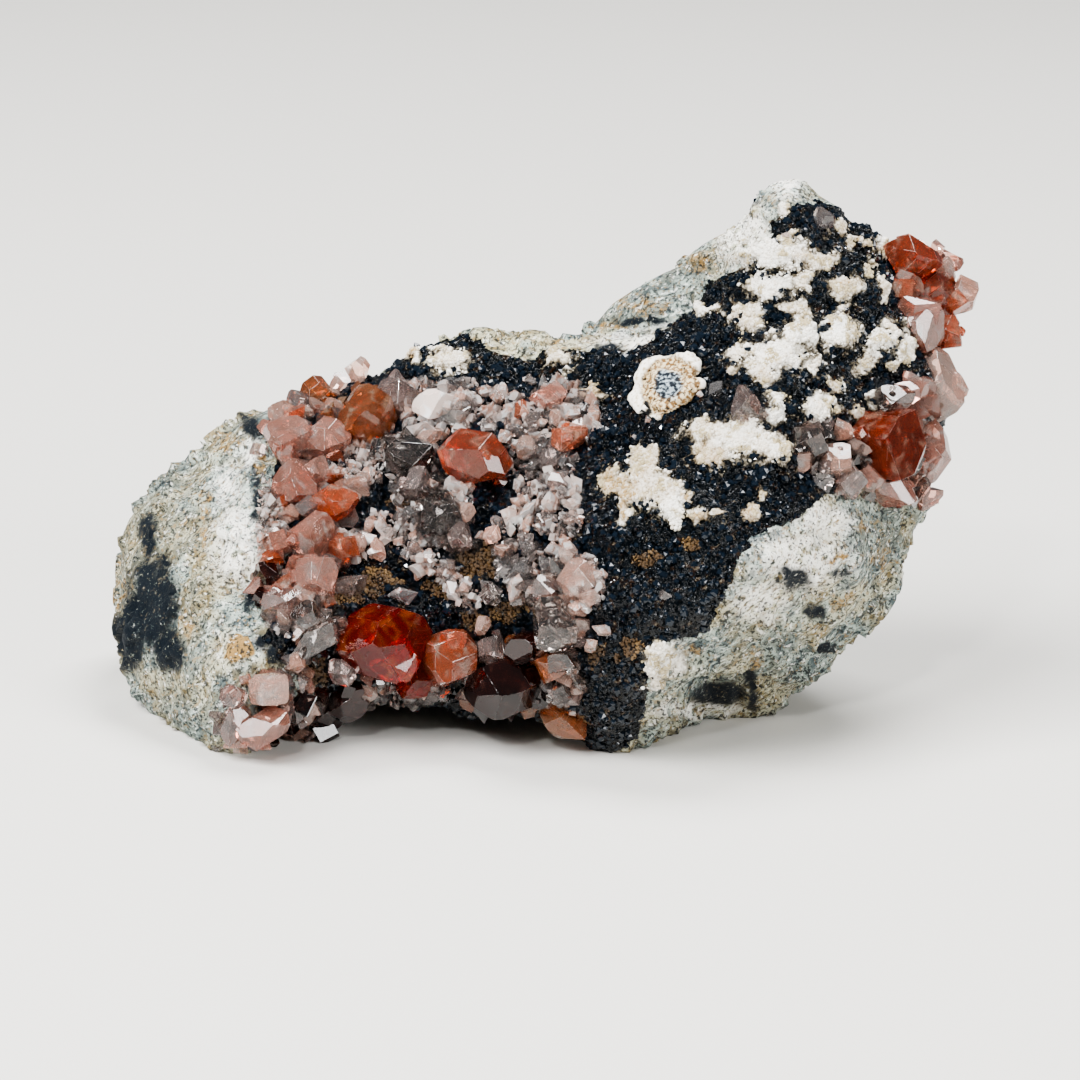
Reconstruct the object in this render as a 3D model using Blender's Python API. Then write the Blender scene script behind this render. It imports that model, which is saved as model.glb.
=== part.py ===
"""Rhodochrosite on matrix: a natural hand specimen lying on its own broken underside.

The frame: +X runs along the specimen's length, -Y is the side that carries the crystals, +Z is up.
The origin is on the surface that it lies on, under the middle of its outline. Lengths are written
in millimetres, and turned to metres by MM where a mesh is made.

Places on the front are given as a collector sees them, from an eye a little above the specimen:
millimetres across and up from the middle of that view.
"""

import math
import random

import bmesh
import bpy
import numpy as np
from mathutils import Matrix, Vector, noise
from mathutils.bvhtree import BVHTree

MM = 0.001
GAP = 0.32  # between a crystal and what it grows on, which keeps the solids apart

# The eye that places are given from.
VIEW_MIDDLE = Vector((-0.5, -5.0, 16.0))
VIEW_DISTANCE = 387.0
VIEW_DOWN = math.radians(15.0)
VIEW_ROLL = math.radians(1.9)

# The host rock. Each section is a slice across the length: its place along X, then the ten corners of
# its outline as (y, z), in the order toe, belly, chest, brow, crest, saddle, rear crest, back, heel, sole.
SECTIONS = (
    (-35, (3, 4), (1.5, 6.5), (2, 9), (4.5, 11.5), (7.5, 12.7), (9, 12), (10.5, 10), (11, 8), (10, 5.5),
     (7, 4)),
    (-33.6, (-1, 1.4), (-4, 5), (-2.5, 9.5), (2, 13.5), (7, 15.5), (11, 14.3), (14, 12), (15.5, 8),
     (14, 2.5), (8, 1)),
    (-30.7, (-5, 0), (-8, 6), (-4.5, 11), (1.5, 15.5), (8, 17.7), (12, 17), (16, 14.5), (18.5, 8.5),
     (17, 1), (7, 0)),
    (-27, (-11, 0), (-13.8, 6), (-9, 12.5), (-2, 17), (7, 20.2), (12, 20), (17, 17), (20, 10), (18, 1),
     (6, 0)),
    (-23.5, (-13, 0), (-15.5, 7.5), (-9, 13), (-4.5, 18), (6, 22.8), (12, 22), (17.5, 19), (20.5, 11),
     (19, 1), (6, 0)),
    (-19.5, (-10, 2.5), (-14, 7), (-9, 13.5), (-2, 19.3), (6.5, 23.4), (12, 23), (18, 20), (20, 11),
     (18, 1), (5, 1)),
    (-15, (-8, 3), (-12, 8), (-8, 13.5), (-0.5, 20.3), (8, 25.2), (13, 25), (18, 21), (20, 11.5),
     (17.5, 1.2), (4, 2)),
    (-9, (-7, 3), (-10.5, 8), (-7.5, 14.5), (0.5, 22), (10, 28), (14, 27.5), (18, 23), (20, 12),
     (17, 1.5), (4, 2)),
    (-3, (-8, 2.5), (-11, 7), (-9, 14), (-1, 22), (10.5, 28.8), (14.5, 28.3), (19, 24.5), (21, 12),
     (17.5, 1.5), (4, 2)),
    (2.5, (-9.5, 1.5), (-14, 9), (-12, 15.5), (-3, 23), (8.5, 29), (13, 28.8), (18.5, 27.5), (21, 13),
     (17.5, 1.5), (4, 2)),
    (8, (-9.5, 0), (-17.5, 10.5), (-15, 17.5), (-6.5, 25), (5.5, 31), (10, 30), (16.5, 33), (21, 15),
     (17, 1), (2, 1)),
    (12.5, (-5, 2), (-18, 12.5), (-15.5, 19), (-7, 27), (5, 34.8), (9.5, 33.5), (16, 36.5), (21.5, 17),
     (17, 0.5), (3, 0)),
    (16, (-2, 1.6), (-17.5, 15), (-14, 21.5), (-5, 31), (7, 40.6), (11, 39), (16.5, 37), (21, 18),
     (16, 0.8), (2, 0)),
    (19.5, (-2, 3.2), (-14.5, 15.5), (-11.5, 22.5), (-3, 33), (7, 43.6), (11, 42), (17, 37), (20.5, 20),
     (15, 3), (3, 1.5)),
    (24.8, (-2.5, 7.7), (-9.5, 15.5), (-7.5, 22.5), (-1.5, 32.3), (7.5, 40.4), (11, 39), (16, 35),
     (19, 21), (14, 7.6), (4, 6)),
    (28.4, (-1, 13.5), (-4, 18), (-3, 24), (0.5, 31.5), (8.5, 37.2), (11.5, 36), (15, 32), (17.5, 22),
     (13, 13), (6, 11.5)),
    (31, (3, 19), (1.5, 22), (2, 26), (3.5, 29.7), (9, 32.5), (11.5, 32), (14, 29), (15, 23.5), (12, 19),
     (8, 18)),
)
LEFT_TIP, RIGHT_TIP = (-35.9, 7, 8), (32.4, 8, 26)
STEPS_ROUND, STEPS_BETWEEN = 6, 5
ROCK_CELL = 0.62
ROCK_TRIANGLES = 2500
FLAT_WITHIN = 0.12
FOOT_DEPTH = 0.35  # how much of the underside is worn flat where it touches the surface

# Lumps on the rock's front: across, up, half the width, half the height, and how far they stand out.
LUMPS = (
    (18.7, 23.0, 2.6, 1.2, 0.9), (18.4, 20.6, 1.4, 0.7, 0.5), (17.4, 17.0, 1.8, 1.1, 0.6),
    (20.9, 16.6, 1.7, 1.2, 0.8), (24.2, 16.1, 1.5, 1.1, 0.7), (24.3, 20.3, 1.3, 0.9, 0.5),
    (27.2, 16.0, 1.5, 0.8, 0.6), (16.3, 8.0, 3.9, 1.8, 0.8), (19.0, 10.7, 1.2, 0.9, 0.5),
    (22.5, 10.6, 1.4, 0.9, 0.5), (8.1, 5.1, 3.6, 2.9, 0.8), (10.1, 2.6, 1.2, 0.9, 0.7),
    (-7.0, 14.1, 1.7, 1.1, 0.6), (10.0, -9.6, 1.6, 1.2, 0.5), (15.3, 14.8, 2.4, 1.5, 0.6),
    (-24.6, -0.1, 1.6, 3.2, 0.6), (-24.0, -8.7, 2.0, 1.7, 0.7), (-6.5, 11.2, 2.4, 1.2, 0.5),
    (4.2, 1.0, 1.4, 2.2, 0.4), (7.0, -3.2, 1.8, 1.5, 0.5), (13.2, 3.0, 2.2, 1.4, 0.5),
)
# Hollows, in the same way: a pocket on the left, a scoop under the right, and the troughs between.
HOLLOWS = (
    (-23.9, -8.8, 1.0, 0.8, 1.1), (14.2, -12.2, 2.6, 1.3, 1.6), (-23.6, 8.6, 0.9, 1.3, 0.8),
    (-4.6, 2.0, 1.3, 1.6, 0.7), (-10.5, -2.2, 2.2, 1.4, 0.6), (-12.6, 3.6, 1.0, 2.0, 0.6),
    (-1.0, -6.5, 1.6, 1.4, 0.7), (1.5, -9.0, 2.0, 2.0, 0.8), (19.6, -7.6, 1.5, 1.0, 0.6),
)
# The edge where the dark crust ends above the paler broken rock of the lower right, and how far the
# rock below it is set back.
CRUST_EDGE = (
    (7.4, -16.0), (8.3, -11.5), (9.8, -8.9), (12.3, -8.6), (14.0, -6.0), (15.2, -2.9), (17.9, -1.6),
    (21.2, -0.6), (23.0, 2.5), (25.2, 5.0), (27.5, 5.4), (30.3, 2.5), (34.0, -4.0), (30.0, -20.0),
    (8.0, -20.0),
)
CRUST_STEP = 0.55
# Flat breaks that the rock was struck off along: the way each one faces, and how deep it bites.
BREAKS = (
    ((-0.55, 0.8, 0.25), 2.6), ((0.05, 0.97, 0.15), 1.3), ((0.6, 0.7, -0.35), 3.0),
    ((0.5, 0.75, 0.4), 1.6), ((-0.1, 0.65, -0.75), 2.2), ((0.5, -0.65, -0.55), 1.3),
    ((-0.9, -0.35, -0.2), 0.9),
    ((0.85, 0.35, -0.4), 2.2), ((-0.6, 0.5, -0.6), 2.0), ((-0.75, 0.1, 0.6), 0.8), ((0.3, 0.9, 0.35), 1.6),
)
CRACK = ((16.5, -10.8), (16.3, -12.8), (16.6, -15.5))
CRACK_WIDTH, CRACK_DEPTH = 0.42, 1.3


def view_axes():
    """The eye's place and its directions: right, up, and towards the specimen."""
    right = Vector((1, 0, 0))
    up = Vector((0, math.sin(VIEW_DOWN), math.cos(VIEW_DOWN)))
    ahead = Vector((0, math.cos(VIEW_DOWN), -math.sin(VIEW_DOWN)))
    return VIEW_MIDDLE - ahead * VIEW_DISTANCE, right, up, ahead


EYE, RIGHT, UP, AHEAD = view_axes()
LEAN, SHIFT = math.cos(VIEW_ROLL), math.sin(VIEW_ROLL)


def seen_at(point):
    """Where a point is in the front view: millimetres across and up."""
    offset = Vector(point) - EYE
    depth = offset.dot(AHEAD) / VIEW_DISTANCE
    x, y = offset.dot(RIGHT) / depth, offset.dot(UP) / depth
    return x * LEAN + y * SHIFT, y * LEAN - x * SHIFT


def sight_line(across, up):
    """The direction from the eye through a place in the front view."""
    x, y = across * LEAN - up * SHIFT, across * SHIFT + up * LEAN
    return (AHEAD * VIEW_DISTANCE + RIGHT * x + UP * y).normalized()


def between(a, b, c, d, t):
    """The Catmull-Rom curve from b to c, at t from 0 to 1."""
    return 0.5 * (2 * b + (c - a) * t + (2 * a - 5 * b + 4 * c - d) * t**2 + (3 * b - a - 3 * c + d) * t**3)


def outline(section):
    """One section's outline as points round a closed smooth curve."""
    x, *corners = section
    corners = np.array(corners, float)
    count = len(corners)
    yz = [
        between(*(corners[(i + k) % count] for k in (-1, 0, 1, 2)), step / STEPS_ROUND)
        for i in range(count)
        for step in range(STEPS_ROUND)
    ]
    return np.column_stack([np.full(len(yz), x), yz])


def outlines():
    """Every outline of the rock's skin, with smooth ones between the sections."""
    known = [outline(section) for section in SECTIONS]
    last = len(known) - 1
    for i in range(last):
        around = [known[max(0, min(last, i + k))] for k in (-1, 0, 1, 2)]
        for step in range(STEPS_BETWEEN):
            yield between(*around, step / STEPS_BETWEEN)
    yield known[-1]


def new_object(name, bm):
    """An object that holds a bmesh made in millimetres, and frees it."""
    bmesh.ops.scale(bm, vec=(MM, MM, MM), verts=bm.verts)
    mesh = bpy.data.meshes.new(name)
    bm.to_mesh(mesh)
    bm.free()
    obj = bpy.data.objects.new(name, mesh)
    bpy.context.scene.collection.objects.link(obj)
    return obj


def points_of(obj):
    """An object's vertices in millimetres."""
    return [v.co / MM for v in obj.data.vertices]


def baked(obj, *modifiers):
    """Adds modifiers, each a type and its settings, and keeps the mesh that they give."""
    for kind, settings in modifiers:
        modifier = obj.modifiers.new(kind.title(), kind)
        for key, value in settings.items():
            setattr(modifier, key, value)
    graph = bpy.context.evaluated_depsgraph_get()
    graph.update()
    mesh = bpy.data.meshes.new_from_object(obj.evaluated_get(graph))
    obj.modifiers.clear()
    obj.data = mesh
    return obj


def rock_skin():
    """The rock's smooth skin: rings bridged one to the next, and closed at both tips."""
    bm = bmesh.new()
    loops = []
    for ring in outlines():
        verts = [bm.verts.new(p) for p in ring]
        loops.append([bm.edges.new((a, b)) for a, b in zip(verts, verts[1:] + verts[:1])])
    for first, second in zip(loops, loops[1:]):
        bmesh.ops.bridge_loops(bm, edges=first + second)
    for tip, loop in ((LEFT_TIP, loops[0]), (RIGHT_TIP, loops[-1])):
        point = bm.verts.new(tip)
        for edge in loop:
            bm.faces.new((*edge.verts, point))
    bmesh.ops.recalc_face_normals(bm, faces=bm.faces)
    return new_object("matrix_rock", bm)


def inside(place, polygon):
    """Whether a place in the front view is inside a polygon."""
    x, y = place
    odd = False
    for (ax, ay), (bx, by) in zip(polygon, polygon[1:] + polygon[:1]):
        if (ay > y) != (by > y) and x < (bx - ax) * (y - ay) / (by - ay) + ax:
            odd = not odd
    return odd


def to_line(place, line):
    """How far a place is from an open run of straight lines, in millimetres."""
    p = Vector(place)
    best = 1e9
    for a, b in zip(line, line[1:]):
        a, b = Vector(a), Vector(b)
        along = max(0, min(1, (p - a).dot(b - a) / (b - a).length_squared))
        best = min(best, (p - a.lerp(b, along)).length)
    return best


def dome(place, form):
    """How far a lump or a hollow reaches at a place: a smooth dome over an ellipse."""
    across, up, half_width, half_height, height = form
    r = math.hypot((place[0] - across) / half_width, (place[1] - up) / half_height)
    return height * (1 + math.cos(math.pi * r)) / 2 if r < 1 else 0


def relief(point, normal):
    """How far the rock's surface stands out of its smooth skin at a point, in millimetres."""
    broad = noise.fractal(point / 7.0, 0.9, 2.1, 3)
    ledges = abs(noise.noise(Vector((point.x / 5.5, point.y / 4.0, point.z / 2.6)) + Vector((7, 3, 1))))
    fine = noise.noise(point / 2.3 + Vector((3, 9, 5)))
    height = 0.75 * broad - 0.9 * ledges + 0.16 * fine + 0.15
    if normal.dot(AHEAD) > -0.1:
        return height
    place = seen_at(point)
    height += sum(dome(place, form) for form in LUMPS) - sum(dome(place, form) for form in HOLLOWS)
    if inside(place, CRUST_EDGE):
        height -= CRUST_STEP * min(1, to_line(place, CRUST_EDGE[:12]) / 0.5)
    away = to_line(place, CRACK)
    if away < CRACK_WIDTH:
        height -= CRACK_DEPTH * (1 - away / CRACK_WIDTH)
    return height


def struck(points):
    """The points with the flat breaks struck off, each face a little rough."""
    points = np.array(points)
    for facing, depth in BREAKS:
        facing = np.array(facing) / np.linalg.norm(facing)
        reach = points @ facing
        rough = np.array([0.35 * noise.noise(Vector(p) / 3.1) for p in points])
        points -= np.outer(np.maximum(0, reach - reach.max() + depth + rough), facing)
    return points


def rock():
    """The host rock with its ledges, lumps and hollows, and flat where it touches the surface."""
    obj = rock_skin()
    baked(obj, ("REMESH", {"mode": "VOXEL", "voxel_size": ROCK_CELL * MM}))
    moved = [v.co / MM + v.normal * relief(v.co / MM, v.normal) for v in obj.data.vertices]
    for v, (x, y, z) in zip(obj.data.vertices, struck(moved)):
        v.co = Vector((x, y, max(z - FOOT_DEPTH, 0))) * MM
    share = ROCK_TRIANGLES / (2 * len(obj.data.polygons))
    baked(obj, ("TRIANGULATE", {}), ("DECIMATE", {"ratio": share}))
    for v in obj.data.vertices:
        v.co.z = 0 if v.co.z < FLAT_WITHIN * MM else v.co.z
    return obj


# Crystals. Each one: its place in the front view, its length and its width, which way its long axis
# points in the front view and how far that end comes towards the eye (degrees), its turn about that
# axis, how blunt its ends are (1 is a block, 2 is a dog tooth), and how far its middle stands out of
# the rock, as a share of its width.
CRYSTALS = {
    "twin_red_crystals": (
        (-12.5, -8.2, 8.0, 6.7, 184, 12, 20, 1.1, 0.30),
        (-7.5, -9.3, 5.9, 5.2, -28, 20, 75, 1.15, 0.30),
        (-10.2, -10.9, 4.2, 3.4, 240, 10, 15, 1.2, 0.10),
    ),
    "single_red_crystal": ((-5.3, 6.3, 6.5, 5.1, 172, 8, 50, 1.25, 0.36),),
    "dark_red_crystals": (
        (-2.9, -12.0, 7.0, 5.0, 8, 18, 5, 1.1, 0.22),
        (-1.2, -8.7, 3.9, 2.8, 30, 15, 40, 1.2, 0.25),
        (-3.9, -8.9, 3.2, 2.6, 120, 40, 10, 1.1, 0.25),
        (1.0, -10.6, 3.4, 2.6, -15, 20, 80, 1.3, 0.25),
        (0.2, -12.2, 3.4, 2.7, 60, 20, 30, 1.2, 0.05),
    ),
    "low_orange_crystal": ((2.0, -14.4, 4.9, 3.3, -42, 14, 25, 1.4, 0.30),),
    "top_left_crystals": (
        (-14.0, 9.9, 5.7, 5.2, 70, 35, 15, 1.1, 0.25),
        (-17.7, 11.5, 4.0, 3.5, 100, 20, 60, 1.15, 0.25),
        (-11.2, 11.3, 4.6, 3.9, -50, 10, 35, 1.3, 0.20),
        (-14.8, 13.7, 2.6, 2.1, 80, 10, 0, 1.2, 0.25),
        (-16.1, 12.6, 2.2, 1.9, 20, 10, 45, 1.2, 0.25),
    ),
    "left_pink_crystals": (
        (-20.4, 8.2, 4.3, 3.9, 140, 20, 10, 1.1, 0.22),
        (-17.5, 8.2, 4.8, 4.1, 15, 15, 55, 1.15, 0.28),
        (-20.5, 10.0, 3.4, 2.4, 150, 10, 80, 1.1, 0.20),
        (-19.6, 4.4, 4.6, 3.7, 110, 15, 30, 1.2, 0.22),
        (-16.7, 2.9, 4.9, 3.2, 8, 18, 65, 1.25, 0.30),
        (-18.4, 0.2, 4.6, 4.0, 60, 20, 20, 1.2, 0.28),
        (-18.2, -3.0, 4.8, 3.7, -20, 25, 45, 1.15, 0.26),
        (-16.0, -0.8, 3.2, 2.6, 40, 20, 0, 1.2, 0.25),
        (-21.8, -2.9, 3.0, 2.3, 130, 15, 15, 1.2, 0.20),
        (-22.2, -4.6, 2.4, 1.9, 200, 10, 70, 1.2, 0.20),
        (-20.9, -5.2, 3.9, 3.0, 25, 15, 35, 1.3, 0.22),
        (-18.7, -6.1, 3.6, 2.8, -30, 20, 5, 1.25, 0.25),
    ),
    "clear_left_crystals": (
        (-18.1, -8.2, 5.0, 2.5, 38, 14, 30, 1.6, 0.42),
        (-19.6, -9.8, 2.0, 1.7, 70, 20, 60, 1.2, 0.40),
        (-16.6, -7.0, 2.4, 1.9, 50, 10, 10, 1.3, 0.30),
    ),
    "lower_left_crystals": (
        (-21.8, -12.1, 3.9, 3.2, 20, 30, 15, 1.1, 0.48),
        (-22.2, -15.2, 5.2, 3.5, 15, 12, 45, 1.2, 0.26),
        (-24.9, -14.9, 3.8, 1.6, 86, 8, 30, 1.7, 0.34),
        (-24.7, -12.6, 2.4, 1.9, 110, 15, 65, 1.2, 0.26),
        (-19.3, -13.6, 3.6, 2.6, 60, 18, 10, 1.2, 0.26),
        (-17.6, -13.9, 2.7, 2.4, 80, 20, 50, 1.1, 0.28),
        (-15.7, -12.6, 4.6, 4.0, 105, 15, 25, 1.25, 0.20),
        (-16.0, -10.7, 2.9, 2.4, 120, 10, 80, 1.2, 0.22),
    ),
    "clear_crystals": (
        (1.2, -6.8, 5.0, 4.0, 115, 15, 20, 1.15, 0.42),
        (2.0, -9.9, 3.1, 2.3, 160, 15, 60, 1.3, 0.30),
        (1.6, -12.1, 2.9, 2.2, 70, 12, 35, 1.3, 0.22),
        (3.0, -3.2, 3.6, 3.0, 60, 25, 5, 1.2, 0.20),
        (0.4, -4.0, 2.9, 2.2, 20, 20, 45, 1.3, 0.22),
        (3.9, -4.6, 2.2, 1.7, -20, 15, 70, 1.3, 0.22),
    ),
    "middle_clear_crystals": (
        (-10.4, 6.5, 4.8, 3.6, 160, 20, 15, 1.1, 0.10),
        (-9.9, 4.2, 3.9, 3.0, 60, 22, 40, 1.2, 0.12),
        (-8.2, 1.7, 4.4, 3.3, -35, 20, 70, 1.2, 0.14),
        (-8.9, 3.4, 2.6, 2.2, 30, 20, 10, 1.2, 0.22),
        (-6.4, 0.2, 2.8, 2.1, -50, 15, 30, 1.3, 0.15),
        (-7.0, 2.6, 2.4, 1.9, -30, 25, 20, 1.1, 0.25),
        (-6.1, 2.3, 1.9, 1.5, 40, 20, 20, 1.2, 0.35),
    ),
    "upper_right_crystals": (
        (30.0, 22.7, 4.8, 3.3, -15, 8, 20, 1.1, 0.30),
        (31.7, 19.8, 5.2, 4.4, 100, 10, 50, 1.15, 0.28),
        (30.8, 17.1, 4.8, 3.8, 60, 10, 5, 1.15, 0.22),
        (32.4, 21.6, 2.9, 2.2, 75, 5, 35, 1.3, 0.35),
        (34.1, 19.7, 3.6, 2.9, 40, 5, 65, 1.3, 0.38),
        (32.9, 16.6, 3.4, 2.7, -60, 5, 15, 1.2, 0.30),
    ),
    "middle_right_crystals": (
        (27.9, 7.6, 6.8, 5.6, 48, 8, 12, 1.0, 0.26),
        (32.0, 12.5, 6.7, 4.9, 94, 8, 42, 1.15, 0.30),
        (31.1, 7.1, 5.9, 4.0, 82, 7, 66, 1.15, 0.24),
        (28.4, 11.3, 3.9, 2.7, 15, 12, 25, 1.1, 0.22),
        (28.3, 3.9, 5.0, 2.8, 170, 10, 55, 1.2, 0.18),
        (31.1, 3.6, 3.0, 2.2, 30, 8, 5, 1.2, 0.20),
    ),
    "flat_pale_crystal": (
        (21.6, 7.9, 4.3, 3.4, 30, 55, 20, 1.0, 0.06),
        (23.8, 6.4, 4.4, 3.2, -20, 50, 60, 1.0, 0.08),
        (24.9, 4.6, 3.4, 2.6, 60, 40, 10, 1.1, 0.10),
    ),
    "triangular_crystal": ((16.8, 10.5, 4.3, 2.7, 118, 20, 30, 1.6, 0.10),),
}


# The crusts that the crystals of a group grow from, as outlines in the front view. The druse's own
# crust is several patches grown together, with dark rock left bare between them.
CRUSTS = {
    "dark_red_crystals": (((-6.9, -8.1), (-4.0, -6.9), (0.4, -8.1), (1.6, -12.1), (-0.8, -14.1),
                           (-5.6, -13.7)),),
    "top_left_crystals": (
        ((-18.8, 10.6), (-16.5, 11.9), (-12.9, 12.6), (-9.6, 12.0), (-10.0, 10.2), (-12.6, 8.2),
         (-15.4, 8.4)),
    ),
    "left_pink_crystals": (
        ((-22.4, 9.3), (-19.4, 10.9), (-15.7, 9.7), (-15.7, 6.5), (-14.6, 3.6), (-15.3, 1.2), (-15.7, -1.6),
         (-16.1, -4.8), (-19.4, -6.9), (-22.4, -5.6), (-23.0, -3.2), (-20.6, -0.4), (-21.4, 3.2),
         (-22.4, 6.5)),
    ),
    "clear_left_crystals": (
        ((-20.6, -10.1), (-19.4, -7.7), (-16.5, -6.5), (-15.7, -8.1), (-18.5, -10.5), (-20.2, -10.9)),
    ),
    "lower_left_crystals": (
        ((-25.8, -12.9), (-23.8, -10.9), (-20.2, -10.9), (-16.9, -12.1), (-14.1, -10.1), (-13.1, -12.9),
         (-15.7, -14.5), (-19.4, -15.7), (-22.2, -16.9), (-25.6, -16.5)),
    ),
    "clear_crystals": (
        ((-0.4, -4.8), (1.6, -2.0), (4.4, -1.6), (4.8, -4.4), (3.4, -8.1), (3.2, -12.1), (0.8, -12.9),
         (0, -8.9)),
    ),
    "middle_clear_crystals": (
        ((-11.6, 7.6), (-8.9, 7.7), (-8.1, 4.8), (-5.6, 1.6), (-5.2, -0.4), (-7.7, -0.8), (-9.7, 1.6),
         (-11.3, 4)),
        ((-8.6, 4.4), (-5.6, 4.8), (-4.4, 2.8), (-5.2, 0.4), (-7.6, 0.4)),
    ),
    "upper_right_crystals": (
        ((28.2, 23.4), (31.5, 24.2), (33.9, 21.8), (33.9, 18.5), (31.9, 15.7), (29.4, 16.5), (28.6, 20.2)),
    ),
    "middle_right_crystals": (
        ((25.0, 7.3), (27.4, 10.9), (29.8, 14.0), (31.6, 14.0), (32.2, 11.3), (31.8, 7.3), (30.9, 4),
         (29, 2.8), (26.2, 4)),
    ),
    "flat_pale_crystal": (
        ((19.8, 8.9), (23.4, 9.5), (25.8, 8.1), (26.5, 5.6), (26.6, 3.2), (23.8, 4.0), (21.0, 6.0)),
    ),
    "small_crystal_crust": (
        ((-11.3, 12.1), (-8.1, 13.2), (-4.0, 12.7), (-0.8, 13.3), (2.4, 12.7), (4.2, 10.9), (4.8, 8.1),
         (3.5, 6.0),
         (3.7, 1.6), (4.8, -1.6), (4.2, -4.8), (1.2, -5.2), (-0.8, -2.8), (-1.6, 0), (-1.0, 3.2),
         (-1.2, 6.5),
         (0, 8.9), (-2.8, 9.3), (-5.6, 9.7), (-8.9, 8.9), (-11.7, 9.3)),
        ((-15.7, 2.0), (-12.5, 2.8), (-9.3, 0.8), (-6.9, -1.2), (-4.8, -4.4), (-5.6, -6.3), (-7.7, -4.8),
         (-9.7, -2.0), (-12.9, -0.4), (-15.3, -0.4)),
        ((-5.6, -2.4), (-3.2, -1.6), (-1.6, -1.6), (0.8, -3.4), (-1.0, -6.9), (-4.0, -7.7), (-5.8, -6.0)),
        ((-15.6, 7.2), (-13.5, 8.6), (-12.2, 10.4), (-10.4, 10.4), (-11.4, 8.0), (-12.0, 5.2),
         (-14.7, 4.8)),
    ),
}
# The druse: small pale crystals that stand on its crust, with more seeded between them.
DRUSE_CRYSTALS = (
    (-8.6, 11.0, 3.9, 2.1, 10, 10, 0, 1.0, 0.28),
    (-6.6, 9.9, 2.7, 1.7, 25, 15, 40, 1.3, 0.35),
    (-3.4, 11.7, 1.8, 1.5, 100, 20, 10, 1.1, 0.40),
    (-1.4, 10.4, 2.1, 1.4, 82, 12, 20, 1.3, 0.45),
    (0.7, 11.6, 3.3, 2.2, 12, 12, 55, 1.2, 0.45),
    (-0.7, 12.8, 1.5, 0.9, 105, 10, 30, 1.6, 0.35),
    (1.4, 9.9, 1.8, 1.4, 100, 20, 60, 1.1, 0.40),
    (2.4, 8.4, 3.5, 2.4, 25, 15, 15, 1.2, 0.42),
    (-1.0, 7.4, 2.4, 2.0, 110, 25, 25, 1.1, 0.32),
    (0.8, 6.4, 2.3, 1.9, 60, 20, 65, 1.1, 0.32),
    (1.5, 4.6, 2.5, 2.0, -70, 20, 0, 1.2, 0.32),
    (-8.9, 8.3, 2.7, 1.5, 20, 10, 20, 1.2, 0.30),
    (-12.9, 7.0, 2.6, 2.1, 60, 25, 50, 1.0, 0.20),
    (-13.1, -0.8, 2.2, 1.4, 110, 12, 30, 1.2, 0.40),
    (-14.7, -0.3, 2.0, 1.6, 50, 20, 0, 1.1, 0.35),
    (-9.6, -2.5, 1.9, 1.1, 55, 12, 15, 1.3, 0.50),
    (-3.8, 0.4, 1.9, 1.3, 60, 15, 20, 1.2, 0.45),
    (-2.9, -0.7, 1.9, 1.2, 30, 15, 25, 1.3, 0.45),
    (-3.8, -4.4, 2.2, 1.8, 100, 25, 35, 1.1, 0.40),
    (-0.5, -4.3, 1.6, 1.3, 60, 20, 15, 1.1, 0.40),
    (3.1, -3.0, 2.6, 2.0, 70, 25, 10, 1.1, 0.36),
    (4.0, -1.9, 1.8, 1.4, 20, 25, 40, 1.1, 0.36),
    (2.2, -1.3, 1.9, 1.5, 130, 20, 70, 1.1, 0.36),
    (-4.6, -6.9, 1.8, 1.3, 70, 20, 25, 1.2, 0.36),
)
CRUST_THICK = 0.45
ABOVE_TABLE = 0.2  # how far the lowest crystals stay above the surface
CRYSTAL_LIFT = 0.75  # how much further out a crystal stands where it grows from a crust
CRUST_REACH = 2.2  # how far in front of the surface, and behind it, a crust's outline is cut through
SEEDED_CRYSTALS = 8

# The ring growth: a round rim of pale mineral with a granular middle.
RING_PLACE = (10.3, 12.4)
RING_PROFILE = ((3.25, -1.6), (3.35, 0.25), (3.0, 0.85), (2.5, 0.95), (2.1, 0.6), (1.75, 0.55),
                (1.3, 0.75), (0.7, 0.9))
RING_SIDES = 18
RING_OUT = 0.5

FACE_LEAN = math.radians(43.4)  # how far a rhombohedron's face leans from the long axis
TOOTH_LEAN = math.radians(68.2)  # and a dog-tooth face
TOOTH_SPLIT = math.radians(19.1)  # half the angle between two dog-tooth faces that share an edge
TOOTH_SHARE = 0.65  # how many of the twelve dog-tooth faces a large crystal has
SMALL_SHARE = 0.3  # and one narrower than SMALL
SMALL = 3.1


def leaning(lean, turn):
    return Vector((math.sin(lean) * math.cos(turn), math.sin(lean) * math.sin(turn), math.cos(lean)))


def crystal_faces(bluntness, share, rng):
    """The planes of one crystal, as (direction, distance): three-fold ends and dog-tooth sides."""
    for third in range(3):
        for end in (0, 1):
            turn = math.tau * third / 3 + math.pi / 3 * end
            flip = Vector((1, 1, -1 if end else 1))
            yield leaning(FACE_LEAN, turn) * flip, bluntness * rng.uniform(0.86, 1.12)
            for side in (-1, 1):
                distance = rng.uniform(0.88, 1.12)
                if rng.random() < share:
                    yield leaning(TOOTH_LEAN, turn + side * TOOTH_SPLIT) * flip, distance


def cut_solid(planes, reach):
    """The convex solid inside a set of planes, each a point and a direction, cut from a cube."""
    bm = bmesh.new()
    bmesh.ops.create_cube(bm, size=2 * reach)
    for point, direction in planes:
        cut = bmesh.ops.bisect_plane(
            bm,
            geom=bm.verts[:] + bm.edges[:] + bm.faces[:],
            dist=1e-5,
            plane_co=point,
            plane_no=direction,
            clear_outer=True,
        )
        rim = [e for e in cut["geom_cut"] if isinstance(e, bmesh.types.BMEdge)]
        if rim:
            bmesh.ops.edgenet_fill(bm, edges=rim)
    bmesh.ops.remove_doubles(bm, verts=bm.verts, dist=0.02)
    bmesh.ops.dissolve_limit(bm, angle_limit=0.01, verts=bm.verts, edges=bm.edges)
    return bm


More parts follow.
